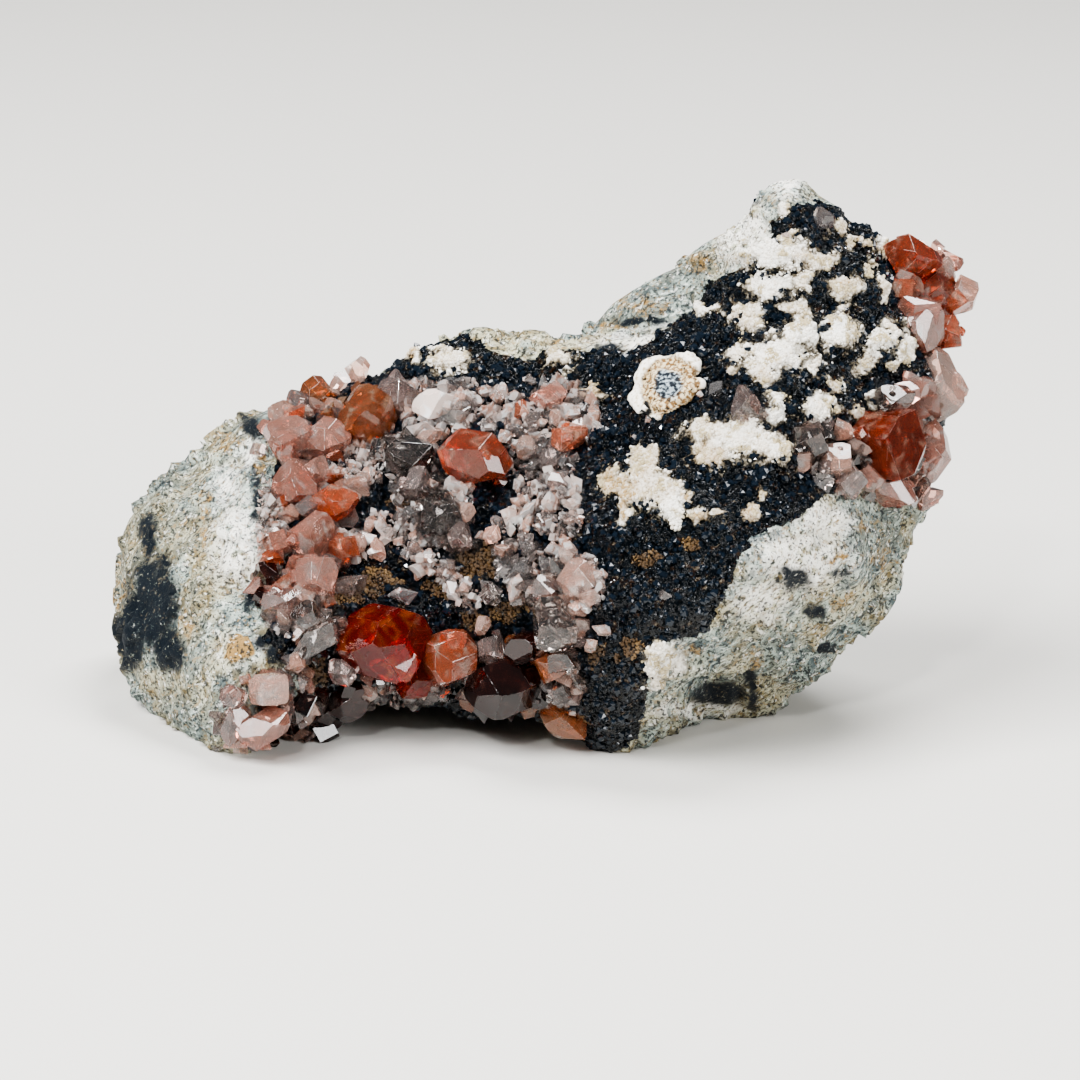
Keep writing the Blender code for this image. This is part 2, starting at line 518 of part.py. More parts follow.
def grown(bm, extra):
    """The same convex solid with every face moved out by a little."""
    middle = sum((v.co for v in bm.verts), Vector()) / len(bm.verts)
    planes = [(f.calc_center_median() - middle + f.normal * extra, f.normal.copy()) for f in bm.faces]
    bigger = cut_solid(planes, 3 * max((v.co - middle).length for v in bm.verts))
    bmesh.ops.translate(bigger, vec=middle, verts=bigger.verts)
    return bigger


class Ground:
    """The rock's surface, for standing things on it."""

    def __init__(self, obj):
        triangles = [tuple(f.vertices) for f in obj.data.polygons]
        self.tree = BVHTree.FromPolygons(points_of(obj), triangles)

    def under(self, across, up):
        """The surface point at a place in the front view, and the line of sight there."""
        ahead = sight_line(across, up)
        hit = self.tree.ray_cast(EYE, ahead)[0]
        if hit is None:
            beside = [EYE + ahead * (VIEW_DISTANCE + step) for step in range(-20, 26)]
            hit = min(beside, key=lambda p: self.tree.find_nearest(p)[3])
        return hit, ahead


def crystal(row, ground, rng, lift):
    """One crystal as a bmesh, standing at its place on the rock or on its crust."""
    across, up, long, wide, turn, toward, spin, bluntness, out = row
    reach = 4 * max(1, bluntness)
    share = SMALL_SHARE if wide < SMALL else TOOTH_SHARE
    bm = cut_solid([(n * d, n) for n, d in crystal_faces(bluntness, share, rng)], reach)
    size = [max(v.co[i] for v in bm.verts) - min(v.co[i] for v in bm.verts) for i in range(3)]
    thick = wide * rng.uniform(0.88, 1.0)
    bmesh.ops.scale(bm, vec=(wide / size[0], thick / size[1], long / size[2]), verts=bm.verts)
    turn, toward, spin = (math.radians(angle) for angle in (turn, toward, spin))
    flat = RIGHT * math.cos(turn + VIEW_ROLL) + UP * math.sin(turn + VIEW_ROLL)
    axis = flat * math.cos(toward) - AHEAD * math.sin(toward)
    side = axis.cross(AHEAD).normalized()
    frame = Matrix((side, axis.cross(side), axis)).transposed() @ Matrix.Rotation(spin, 3, "Z")
    surface, ahead = ground.under(across, up)
    place = Matrix.Translation(surface - ahead * (out * wide + lift)) @ frame.to_4x4()
    bmesh.ops.transform(bm, matrix=place, verts=bm.verts)
    bmesh.ops.recalc_face_normals(bm, faces=bm.faces)
    return bm


def poured(parts):
    """Several bmeshes in one, which frees them."""
    whole = bmesh.new()
    for part in parts:
        mesh = bpy.data.meshes.new("part")
        part.to_mesh(mesh)
        part.free()
        whole.from_mesh(mesh)
        bpy.data.meshes.remove(mesh)
    return whole


def as_cutter(obj):
    obj.hide_render = True
    obj.display_type = "WIRE"
    return obj


def swollen(obj, name, extra, uneven=0):
    """A copy of the rock with its skin moved out, for keeping a gap to it or for a crust's top."""
    copy = obj.copy()
    copy.data = obj.data.copy()
    copy.name = name
    bpy.context.scene.collection.objects.link(copy)
    for v, normal in zip(copy.data.vertices, [v.normal.copy() for v in obj.data.vertices]):
        rough = uneven * noise.noise(v.co / (1.9 * MM))
        v.co = v.co + normal * (extra + rough) * MM
    return as_cutter(copy)


def largest_body(obj):
    """Keeps only the largest of the separate bodies in a mesh."""
    bm = bmesh.new()
    bm.from_mesh(obj.data)
    left, bodies = set(bm.verts), []
    while left:
        body, edge = set(), [next(iter(left))]
        while edge:
            v = edge.pop()
            if v in body:
                continue
            body.add(v)
            edge += [e.other_vert(v) for e in v.link_edges]
        left -= body
        bodies.append(body)
    bodies.sort(key=len)
    for body in bodies[:-1]:
        bmesh.ops.delete(bm, geom=list(body), context="VERTS")
    bm.to_mesh(obj.data)
    bm.free()


def without_slivers(obj, flattest):
    """Joins the pieces that a cut leaves of each nearly flat face, where the mesh stays closed."""
    trials = [(0.02, flattest), (0.01, flattest / 2), (0.03, flattest), (0.005, 1), (0.002, 0.3), (0, 0)]
    for weld, angle, method in [(*trial, method) for trial in trials for method in ("EAR_CLIP", "BEAUTY")]:
        bm = in_millimetres(obj)
        bmesh.ops.remove_doubles(bm, verts=bm.verts, dist=weld)
        if angle:
            bmesh.ops.dissolve_limit(bm, angle_limit=math.radians(angle), verts=bm.verts, edges=bm.edges)
        bmesh.ops.triangulate(bm, faces=bm.faces, ngon_method=method)
        if all(len(e.link_faces) == 2 for e in bm.edges) or (weld, method) == (0, "BEAUTY"):
            break
        bm.free()
    bmesh.ops.scale(bm, vec=(MM, MM, MM), verts=bm.verts)
    bm.to_mesh(obj.data)
    bm.free()


def cut_free(obj, cutters):
    """Makes one solid of what overlaps in a mesh, less the cutters."""
    for cutter in cutters:
        if not meet(obj, cutter):
            continue
        settings = {"operation": "DIFFERENCE", "object": cutter, "use_self": True}
        baked(obj, ("BOOLEAN", settings))
    largest_body(obj)
    without_slivers(obj, 1.5)
    largest_body(obj)


def druse_rows(rng):
    """The druse's named crystals, then small ones seeded over its patches."""
    yield from DRUSE_CRYSTALS
    left = SEEDED_CRYSTALS
    while left:
        place = (rng.uniform(-16, 5), rng.uniform(-8, 13))
        if any(inside(place, patch) for patch in CRUSTS["small_crystal_crust"]):
            wide = rng.uniform(0.9, 1.4)
            lean = (rng.uniform(0, 360), rng.uniform(0, 55), rng.uniform(0, 120))
            yield (*place, wide * rng.uniform(1.1, 1.5), wide, *lean, rng.uniform(1.0, 1.3), 0.6)
            left -= 1


def crust(patches, ground, thick_rock):
    """A thin crust that follows the rock inside the outlines of its patches."""
    columns = []
    for patch in patches:
        bm = bmesh.new()
        near, far = [], []
        for place in patch:
            surface, ahead = ground.under(*place)
            near.append(bm.verts.new(surface - ahead * CRUST_REACH))
            far.append(bm.verts.new(surface + ahead * CRUST_REACH))
        for i in range(len(patch)):
            bm.faces.new((near[i - 1], near[i], far[i], far[i - 1]))
        bm.faces.new(near)
        bm.faces.new(far)
        bmesh.ops.recalc_face_normals(bm, faces=bm.faces)
        columns.append(bm)
    obj = new_object("crust", poured(columns))
    cut = {"operation": "INTERSECT", "object": thick_rock, "use_self": True}
    baked(obj, ("TRIANGULATE", {}), ("BOOLEAN", cut))
    without_slivers(obj, 8)
    return obj


def in_millimetres(obj, extra=0):
    """An object's mesh as a bmesh in millimetres, its skin moved out by a little."""
    bm = bmesh.new()
    bm.from_mesh(obj.data)
    bmesh.ops.scale(bm, vec=(1 / MM, 1 / MM, 1 / MM), verts=bm.verts)
    bm.normal_update()
    for v, normal in zip(bm.verts, [v.normal.copy() for v in bm.verts]):
        v.co += normal * extra
    return bm


def meet(a, b):
    """Whether the boxes round two objects' meshes overlap."""
    spans = []
    for obj in (a, b):
        corners = np.array([v.co for v in obj.data.vertices])
        spans.append((corners.min(axis=0), corners.max(axis=0)))
    (low_a, high_a), (low_b, high_b) = spans
    return bool((low_a < high_b).all() and (low_b < high_a).all())


def ring_growth(ground):
    """The ring growth: its profile spun round a line that stands on the rock."""
    bm = bmesh.new()
    verts = [bm.verts.new((r, 0, z)) for r, z in ((0, -1.6), *RING_PROFILE, (0, 0.85))]
    edges = [bm.edges.new(pair) for pair in zip(verts, verts[1:])]
    step = {"cent": (0, 0, 0), "axis": (0, 0, 1), "angle": math.tau, "steps": RING_SIDES}
    bmesh.ops.spin(bm, geom=verts + edges, use_merge=True, **step)
    bmesh.ops.remove_doubles(bm, verts=bm.verts, dist=0.001)
    for v in bm.verts:
        turn = math.atan2(v.co.y, v.co.x)
        rough = noise.noise(v.co * 1.1 + Vector((4, 2, 8)))
        v.co *= 1 + 0.07 * math.sin(5 * turn + 1) * min(1, v.co.xy.length) + 0.16 * rough
        if v.co.xy.length > 2.0 and 3.3 < turn % math.tau < 4.3:
            v.co = Vector((v.co.x * 0.86, v.co.y * 0.86, min(v.co.z, 0.35)))
    bmesh.ops.recalc_face_normals(bm, faces=bm.faces)
    surface, ahead = ground.under(*RING_PLACE)
    spots = [ground.under(RING_PLACE[0] + dx, RING_PLACE[1] + dy)[0]
             for dx, dy in ((-2.5, -2), (2.5, -2), (0, 2.5))]
    normal = (spots[1] - spots[0]).cross(spots[2] - spots[0]).normalized()
    facing = normal.to_track_quat("Z", "Y").to_matrix().to_4x4()
    place = Matrix.Translation(sum(spots, Vector()) / 3 + normal * RING_OUT)
    bmesh.ops.transform(bm, matrix=place @ facing, verts=bm.verts)
    return new_object("ring_growth", bm)


# Each piece's material: its colour (linear red, green, blue), roughness, and how clear it is.
FINISHES = {
    "pale_rock": ((0.42, 0.40, 0.35), 0.9, 0),
    "pale_druse": ((0.72, 0.55, 0.48), 0.45, 0.3),
    "ring_mineral": ((0.70, 0.64, 0.53), 0.8, 0),
    "red_crystal": ((0.72, 0.09, 0.03), 0.08, 0.85),
    "dark_red_crystal": ((0.30, 0.05, 0.04), 0.1, 0.85),
    "orange_crystal": ((0.66, 0.20, 0.10), 0.12, 0.8),
    "pink_crystal": ((0.78, 0.36, 0.28), 0.15, 0.8),
    "clear_crystal": ((0.80, 0.72, 0.70), 0.08, 0.9),
}
CRYSTAL_FINISHES = {
    "twin_red_crystals": "red_crystal",
    "single_red_crystal": "orange_crystal",
    "dark_red_crystals": "dark_red_crystal",
    "low_orange_crystal": "orange_crystal",
    "top_left_crystals": "orange_crystal",
    "left_pink_crystals": "pink_crystal",
    "clear_left_crystals": "clear_crystal",
    "lower_left_crystals": "pink_crystal",
    "clear_crystals": "clear_crystal",
    "middle_clear_crystals": "clear_crystal",
    "upper_right_crystals": "orange_crystal",
    "middle_right_crystals": "orange_crystal",
    "flat_pale_crystal": "pink_crystal",
    "triangular_crystal": "dark_red_crystal",
    "small_crystal_crust": "pale_druse",
}


def finished(obj, finish):
    """Gives an object its own material."""
    colour, roughness, clearness = FINISHES[finish]
    material = bpy.data.materials.new(f"{obj.name}_{finish}")
    material.use_nodes = True
    shader = material.node_tree.nodes["Principled BSDF"]
    shader.inputs["Base Color"].default_value = (*colour, 1)
    shader.inputs["Roughness"].default_value = roughness
    shader.inputs["Metallic"].default_value = 0
    shader.inputs["Transmission Weight"].default_value = clearness
    shader.inputs["IOR"].default_value = 1.7 if clearness else 1.5
    material.diffuse_color = (*colour, 1)
    obj.data.materials.clear()
    obj.data.materials.append(material)


def below(height):
    """A cutter that takes off all that is lower than a height."""
    bm = bmesh.new()
    bmesh.ops.create_cube(bm, size=100)
    bmesh.ops.translate(bm, vec=(0, 0, height - 50), verts=bm.verts)
    return as_cutter(new_object("table_cutter", bm))


def centred():
    """Moves the whole specimen so that the origin is under the middle of its outline."""
    objects = [obj for obj in bpy.data.objects if obj.type == "MESH"]
    corners = np.array([v.co for obj in objects for v in obj.data.vertices])
    middle = (corners.min(axis=0) + corners.max(axis=0)) / 2
    for obj in objects:
        obj.data.transform(Matrix.Translation((-middle[0], -middle[1], 0)))


def clear_scene():
    for obj in list(bpy.data.objects):
        bpy.data.objects.remove(obj)


def main():
    clear_scene()
    host = rock()
    ground = Ground(host)
    near_rock = swollen(host, "rock_gap_cutter", GAP)
    thick_rock = swollen(host, "crust_thickness_cutter", GAP + CRUST_THICK, 0.5)
    table = below(ABOVE_TABLE)
    finished(host, "pale_rock")

    standing = []  # the crystals made so far, a little larger, which cut those that come after
    for index, (name, rows) in enumerate((*CRYSTALS.items(), ("small_crystal_crust", None))):
        rng = random.Random(index + 11)
        rows = rows or list(druse_rows(rng))
        lift = CRYSTAL_LIFT if name in CRUSTS else 0
        solids = [crystal(row, ground, rng, lift) for row in rows]
        larger = [grown(bm, GAP) for bm in solids]
        if name in CRUSTS:
            foot = crust(CRUSTS[name], ground, thick_rock)
            solids.append(in_millimetres(foot))
            larger.append(in_millimetres(foot, GAP))
            bpy.data.objects.remove(foot)
        obj = new_object(name, poured(solids))
        cut_free(obj, [near_rock, table, *standing])
        standing.append(as_cutter(new_object(f"{name}_gap_cutter", poured(larger))))
        finished(obj, CRYSTAL_FINISHES[name])

    ring = ring_growth(ground)
    cut_free(ring, [near_rock])
    finished(ring, "ring_mineral")
    for obj in (near_rock, thick_rock, table, *standing):
        bpy.data.objects.remove(obj)
    centred()


main()
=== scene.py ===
"""The looks of a rhodochrosite specimen: glassy red, pink and clear crystals on a rock with a dark crust.

Lengths are in millimetres where a name or a table gives them, and are turned to metres where a mesh is made.
A place in the front view is (across, up) from the middle of the view, in millimetres at the specimen.
"""

import logging
import math
import random
from collections.abc import Iterator
from contextlib import contextmanager
from dataclasses import dataclass, field, replace
from enum import Enum

import bpy
import numpy as np
from mathutils import Matrix, Vector, noise
from mathutils.bvhtree import BVHTree


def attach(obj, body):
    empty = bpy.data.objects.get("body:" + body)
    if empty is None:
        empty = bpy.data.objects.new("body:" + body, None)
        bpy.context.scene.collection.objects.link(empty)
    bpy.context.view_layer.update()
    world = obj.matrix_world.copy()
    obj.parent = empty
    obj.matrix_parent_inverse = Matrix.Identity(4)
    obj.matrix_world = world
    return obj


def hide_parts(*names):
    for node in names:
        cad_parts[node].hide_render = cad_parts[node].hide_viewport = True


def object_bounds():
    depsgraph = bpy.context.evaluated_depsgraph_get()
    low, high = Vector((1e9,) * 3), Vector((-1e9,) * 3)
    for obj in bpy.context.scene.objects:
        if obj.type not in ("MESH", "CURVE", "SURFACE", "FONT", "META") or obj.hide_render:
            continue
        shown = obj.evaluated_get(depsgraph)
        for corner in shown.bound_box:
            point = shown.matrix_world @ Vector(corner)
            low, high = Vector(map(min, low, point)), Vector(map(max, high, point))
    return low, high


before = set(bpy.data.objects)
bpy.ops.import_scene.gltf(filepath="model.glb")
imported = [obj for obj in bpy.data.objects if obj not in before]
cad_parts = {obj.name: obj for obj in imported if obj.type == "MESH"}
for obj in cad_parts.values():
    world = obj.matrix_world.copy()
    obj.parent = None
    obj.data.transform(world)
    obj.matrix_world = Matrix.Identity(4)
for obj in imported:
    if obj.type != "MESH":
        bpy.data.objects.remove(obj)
cad_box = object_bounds()

logging.basicConfig(level=logging.INFO, format="%(message)s")
log = logging.getLogger("specimen")

MM = 0.001
Places = np.ndarray  # rows of across and up in the front view
Row = tuple[float, ...]

# The dark crust's outline on the front, up to where the paler broken rock shows.
CRUST_OUTLINE = (
    (-13.5, 13.5), (-11.9, 15.2), (-9.3, 16), (-5.8, 16.5), (-4.4, 15.6), (-2.9, 14.8), (-1.6, 14.3),
    (0.6, 15.1), (2.9, 15.2), (5.1, 15.3), (7.1, 14.8), (8.9, 16.1), (11.5, 18.1), (14.1, 20.6),
    (16.5, 21.9), (18.4, 24.4), (19.5, 26.5), (21, 27.4), (23.8, 26.9), (26.8, 25.6), (29.4, 23.7),
    (31, 19.4), (33.5, 15.3), (34.5, 11.3), (33.5, 6.5), (32.3, 3.2), (29.4, 3), (27.3, 5), (26, 5.5),
    (24.6, 4.8), (23.2, 3.9), (22, 2.7), (20.6, 1.5), (18.9, 1), (17.1, 0.2), (16, -1.5), (15.3, -3.4),
    (14.2, -5.2), (13.2, -6.9), (11.6, -7.9), (10.2, -8.1), (8.9, -9.7), (8.7, -12.1), (7.7, -16.1),
    (4.8, -17.7), (1.6, -15.3), (-3.2, -16.1), (-9.7, -14.5), (-16.9, -12.9), (-20.4, -10.4), (-22.3, -7.9),
    (-21.2, -6.2), (-22.7, -4.6), (-20.6, -2.8), (-20.2, -0.4), (-21.3, 1.4), (-20.0, 3.4), (-21.7, 5.0),
    (-20.9, 7.1), (-22.8, 8.6), (-21.8, 9.9), (-17.7, 11.7), (-15.7, 13.5),
)
# White coatings: across, up, half the width and height, how tan they are, and how far they stand out.
WHITE_PATCHES = (
    (19.2, 23, 2.9, 1.13, 0, 0.7), (22, 22.5, 1.61, 0.81, 0.5, 0.35), (18.7, 20.4, 1.94, 1.05, 0.1, 0.55),
    (21.1, 20.8, 0.81, 0.81, 0.4, 0.4), (24.4, 20.2, 1.21, 0.81, 0.7, 0.35),
    (26.5, 21.8, 0.56, 0.56, 0.8, 0.25), (27.3, 20, 0.4, 0.81, 0.6, 0.25),
    (13.5, 18.4, 0.97, 0.56, 0.1, 0.4), (16.9, 18.1, 1.13, 0.97, 0.5, 0.35),
    (20.6, 18.5, 1.13, 0.73, 0.4, 0.4), (24.8, 18.6, 0.65, 0.48, 0.4, 0.3),
    (21.1, 16.6, 1.29, 1.13, 0, 0.8), (24.1, 16.6, 1.53, 1.21, 0, 0.7), (28.3, 17, 0.65, 0.65, 0.5, 0.3),
    (27.3, 15.8, 0.97, 0.89, 0, 0.6), (29.4, 15.4, 0.81, 1.05, 0.2, 0.5), (28.6, 14, 0.4, 0.48, 0.3, 0.3),
    (16.1, 15, 0.89, 0.97, 0.4, 0.4), (19.1, 14.8, 2.58, 1.21, 0.1, 0.6),
    (18, 13.3, 0.97, 0.89, 0.5, 0.35), (22.2, 14, 0.81, 0.65, 0.3, 0.4),
    (26.1, 14.2, 0.81, 0.89, 0.4, 0.4), (23.7, 12.4, 0.56, 0.73, 0.7, 0.3),
    (19.1, 10.6, 0.97, 0.97, 0, 0.7), (22.4, 10.7, 1.29, 0.89, 0.2, 0.5),
    (25.6, 10.2, 0.81, 0.81, 0.7, 0.3), (13.5, 8.6, 1.77, 0.89, 0.5, 0.5),
    (15.9, 8.1, 2.42, 1.37, 0.15, 0.6), (18.5, 7.3, 1.37, 1.13, 0.3, 0.5),
    (13.5, 6.8, 1.29, 0.97, 0.8, 0.3), (8.5, 6, 1.05, 1.37, 0.7, 0.45), (9.5, 4, 1.94, 1.37, 0.5, 0.55),
    (10.6, 2.7, 1.29, 1.05, 0, 0.8), (7.3, 4, 1.13, 1.05, 0.9, 0.35), (5.9, 4.7, 0.89, 1.13, 1, 0.25),
    (16.9, 2.3, 0.73, 0.65, 0.9, 0.3), (7, 2.3, 0.56, 1.05, 1, 0.2), (19.9, 26.5, 0.48, 0.48, 0.3, 0.4),
    (20.2, 24.5, 0.4, 0.4, 0.3, 0.3), (27.2, 11.4, 0.56, 0.56, 0.3, 0.4), (24.1, 25, 0.65, 0.65, 0.6, 0.3),
    (25, 24.1, 0.65, 0.32, 0.9, 0.2), (26.3, 23.6, 0.65, 0.32, 0.9, 0.2),
    (27.5, 23.1, 0.65, 0.48, 0.8, 0.25), (-7.4, 14.5, 1.53, 1.05, 0.4, 0.5),
    (-10.2, 14.8, 0.65, 0.4, 0.8, 0.3), (1.8, 14.2, 1.05, 0.65, 0.4, 0.45),
    (4.4, 11.9, 0.73, 0.65, 0.9, 0.25), (9.8, -9.3, 1.21, 1.05, 0.15, 0.6),
    (9.3, -10.6, 0.56, 0.81, 0.4, 0.3), (14.5, 2, 0.48, 0.32, 1, 0.15), (12.9, 1.9, 0.97, 0.48, 1, 0.15),
    (12.1, 3.2, 0.48, 0.32, 1, 0.2), (17.7, 3.8, 0.4, 0.32, 1, 0.2), (15.6, 13.5, 0.48, 0.4, 0.6, 0.3),
)
# Patches of brownish sugary grains between the crystals: across, up, half the width and height.
BROWN_GROUND = (
    (-4.7, -1.8, 1.94, 1.61), (-13.1, -3.5, 1.61, 1.13), (-5.2, -6.6, 1.29, 0.81),
    (-18.3, -10.6, 1.05, 1.21), (2.5, -11.8, 1.05, 1.13), (2.1, -12.9, 0.81, 0.97), (-8.1, -4, 1.29, 0.81),
    (-11.3, 3.2, 0.81, 0.65), (-0.8, -4.8, 0.97, 0.81), (4.7, -8.9, 0.65, 1.29), (8.5, -1.6, 1.13, 0.65),
    (-2.8, -5.8, 1.13, 0.81), (-6.9, -8.1, 1.13, 0.65), (7.3, -8.9, 1.13, 0.81), (-15.3, -4.8, 1.13, 0.81),
    (-16.5, -1.6, 0.65, 0.81), (12.1, -0.4, 0.97, 0.65), (2.8, -14.5, 0.97, 0.97),
    (-1.6, -8.1, 1.13, 0.65),
)
# Dark blue-black stains on the pale rock, in the same way, and painted shade in its dents, cracks and
# crevices.
SHADE = (
    (-31.5, 0.6, 0.73, 1.77), (-31.1, -5.2, 2.18, 4.03), (-32.7, -8.1, 1.13, 2.42),
    (-29.7, -8.9, 1.13, 1.77), (-23.2, 9, 0.65, 0.97), (-22.9, 3.6, 0.4, 1.94), (-23.3, -4.9, 0.73, 0.97),
    (-21.3, -9.4, 0.89, 0.89), (-22.4, -8.1, 0.56, 0.56), (29, 3.7, 1.37, 0.81), (32.1, 4.8, 0.65, 0.73),
    (20.6, -3.2, 1.21, 0.97), (24, -2.6, 0.81, 0.48), (22, -5.7, 0.89, 0.48), (22.7, -8.7, 0.97, 0.32),
    (14.2, -12.3, 2.18, 0.97), (17.1, -12.1, 0.48, 1.94), (8.1, 17.6, 2.42, 0.4), (5.8, 15.3, 1.61, 0.4),
)
# Tan stains on it.
TAN = (
    (-33.7, -4.8, 0.56, 4.84), (-27, 1.6, 0.65, 4.84), (-28.2, -8.1, 0.4, 4.03),
    (-22.4, 5.6, 0.65, 2.42), (-25.2, 7.7, 1.61, 1.13), (26.1, 1.1, 1.29, 0.97), (22.4, -6.9, 1.13, 0.65),
    (17.7, -0.8, 0.97, 0.97), (23.8, -1.6, 1.61, 1.13), (17.4, -9.4, 0.65, 1.77), (15, -12.1, 1.94, 0.97),
    (8.1, 19, 3.23, 1.13), (12.9, 22.4, 2.42, 1.29), (5.6, 17.1, 2.42, 0.65), (19, 27.4, 0.65, 0.97),
    (27.4, -1.6, 1.61, 1.61), (24.2, -4.8, 2.1, 0.81), (1.6, 15.6, 1.45, 0.4), (-19.4, 4.8, 0.81, 0.81),
    (12.1, -8.9, 1.13, 0.81),
)
# A rimmed pocket in the pale rock, stained tan.
POCKETS = ((-24.2, -8.9, 1.35, 1.1),)
# Greyish-olive weathered parts of the pale rock.
DULL = (
    (-30.6, 4.5, 2.6, 4.6), (-31.8, -2.0, 2.4, 7.0), (-28.4, -3.0, 1.9, 5.6), (-28.2, -12.4, 2.6, 3.4),
    (12.5, 21.0, 4.6, 2.2), (8.0, 18.0, 4.0, 1.0), (18.0, -8.8, 2.6, 2.0), (27.6, 0.6, 2.4, 2.2),
    (-27.0, 8.4, 2.6, 1.8), (-24.6, -14.6, 1.6, 2.2),
)
# Clean white parts.
BRIGHT = (
    (-24.3, -0.3, 1.9, 3.0), (-25.2, 4.4, 1.0, 1.3), (-23.0, -3.8, 0.9, 1.3), (-23.4, 7.0, 0.7, 1.2),
    (12.1, 15.7, 4.03, 1.45),
    (16.5, 24.6, 1.77, 2.42), (19.8, 28.6, 1.13, 0.97), (21, -1.6, 3.23, 2.1), (10.1, -8.9, 1.13, 0.97),
    (12.9, -13.5, 3.23, 0.48), (8.1, 15.7, 3.23, 0.65), (17.7, -4.8, 2.1, 1.29), (22.6, 1.6, 2.1, 1.29),
)

# ---------------------------------------------------------------------------------------------------------
# Small tools


def linear(code: str) -> tuple[float, float, float, float]:
    """Turns an sRGB hex colour to a linear one.

    Args:
        code: The colour as "#rrggbb".

    Returns:
        Linear red, green and blue, and an alpha of 1.
    """
    parts = [int(code[i : i + 2], 16) / 255 for i in (1, 3, 5)]
    return (*(c / 12.92 if c <= 0.04045 else ((c + 0.055) / 1.055) ** 2.4 for c in parts), 1.0)


def per(size: float) -> float:
    """Returns the texture scale that makes one feature this many millimetres."""
    return 1 / (size * MM)


def smooth(low: float, high: float, values: np.ndarray) -> np.ndarray:
    """Returns 0 below low, 1 above high, and a smooth step between, for each value."""
    t = np.clip((values - low) / (high - low), 0, 1)
    return t * t * (3 - 2 * t)


def waves(points: np.ndarray, size: float, seed: float) -> np.ndarray:
    """Samples smooth noise at each point.

    Args:
        points: Points in millimetres.
        size: The size of one bump, in millimetres.
        seed: Which noise field to use.

    Returns:
        One value a point, from about -1 to 1.
    """
    shift = Vector((seed * 17.3, seed * 5.1 + 3, seed * 11.7 + 8))
    return np.array([noise.noise(Vector(p) / size + shift) for p in points])


def cells(points: np.ndarray, size: float, seed: float) -> np.ndarray:
    """Samples rounded lumps: 1 at the middle of each lump, falling to about 0 between lumps.

    Args:
        points: Points in millimetres.
        size: How far apart the lumps are, in millimetres.
        seed: Which set of lumps to use.

    Returns:
        One value a point.
    """
    shift = Vector((seed * 7.7, seed * 3.3 + 5, seed * 13.1))
    nearest = np.array([noise.voronoi(Vector(p) / size + shift)[0][0] for p in points])
    return 1 - np.clip(nearest, 0, 1) ** 2


def facets(points: np.ndarray, size: float, seed: float) -> np.ndarray:
    """Samples broken faces: each cell is one flat face, tilted its own way.

    Args:
        points: Points in millimetres.
        size: How large a face is, in millimetres.
        seed: Which set of faces to use.

    Returns:
        One height a point, from about -0.5 to 0.5.
    """
    shift = Vector((seed * 3.7 + 2, seed * 9.1, seed * 6.3 + 7))
    heights = []
    for point in points:
        place = Vector(point) / size + shift
        middle = noise.voronoi(place)[1][0]
        x, y, z = middle * 43.7
        tilt = Vector((math.sin(x + 2.1 * y), math.sin(y + 1.7 * z), math.sin(z + 2.9 * x)))
        heights.append((place - middle).dot(tilt))
    return np.array(heights)


def alone(obj: bpy.types.Object) -> None:
    """Selects one object and makes it the active one."""
    bpy.ops.object.select_all(action="DESELECT")
    obj.select_set(True)
    bpy.context.view_layer.objects.active = obj


@contextmanager
def editing() -> Iterator[None]:
    """Holds the active object in edit mode."""
    bpy.ops.object.mode_set(mode="EDIT")
    yield
    bpy.ops.object.mode_set(mode="OBJECT")


def modified(obj: bpy.types.Object, kind: str, **settings: object) -> None:
    """Adds one modifier to an object and applies it.

    Args:
        obj: The object to change.
        kind: The modifier's type.
        settings: The modifier's settings.
    """
    alone(obj)
    modifier = obj.modifiers.new(kind.title(), kind)
    for key, value in settings.items():
        setattr(modifier, key, value)
    bpy.ops.object.modifier_apply(modifier=modifier.name)


def node_copy(node: str, name: str) -> bpy.types.Object:
    """Copies a CAD node's mesh into a new object, with its loose triangles merged.

    Args:
        node: The CAD node's name.
        name: The new object's name.

    Returns:
        The new object, with no material.
    """
    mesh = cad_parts[node].data.copy()
    obj = bpy.data.objects.new(name, mesh)
    bpy.context.scene.collection.objects.link(obj)
    mesh.materials.clear()
    alone(obj)
    bpy.ops.mesh.customdata_custom_splitnormals_clear()
    with editing():
        bpy.ops.mesh.select_all(action="SELECT")
        bpy.ops.mesh.remove_doubles(threshold=1e-6)
    return obj


def points_of(obj: bpy.types.Object) -> np.ndarray:
    """Returns an object's vertices in millimetres, as rows of x, y and z."""
    co = np.empty(len(obj.data.vertices) * 3, np.float32)
    obj.data.vertices.foreach_get("co", co)
    return co.reshape(-1, 3).astype(float) / MM


def normals_of(obj: bpy.types.Object) -> np.ndarray:
    """Returns the normal at each of an object's vertices."""
    return np.array([v.normal[:] for v in obj.data.vertices])


def put_points(obj: bpy.types.Object, points: np.ndarray) -> None:
    """Moves an object's vertices to new points, given in millimetres."""
    obj.data.vertices.foreach_set("co", (points * MM).astype(np.float32).ravel())
    obj.data.update()


def painted(obj: bpy.types.Object, name: str, values: np.ndarray, domain: str = "POINT") -> None:
    """Stores one number for each vertex, or each face, for the material to read."""
    layer = obj.data.attributes.new(name, "FLOAT", domain)
    layer.data.foreach_set("value", values.astype(np.float32))


def clipped(points: np.ndarray) -> np.ndarray:
    """Returns points, in millimetres, held inside the solids' box."""
    low, high = (np.array(corner) / MM for corner in cad_box)
    return np.clip(points, low, high)


def shown(obj: bpy.types.Object, slot: str, *replaced: str) -> bpy.types.Object:
    """Rides a finished piece on the specimen and hides the CAD nodes that it stands for.

    Args:
        obj: The piece, in its place.
        slot: A material slot of the record; not used.
        replaced: The CAD nodes that it replaces.

    Returns:
        The same object.
    """
    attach(obj, "root")
    if replaced:
        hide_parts(*replaced)
    log.info("%s: %d faces", obj.name, len(obj.data.polygons))
    return obj


# ---------------------------------------------------------------------------------------------------------
# The front view


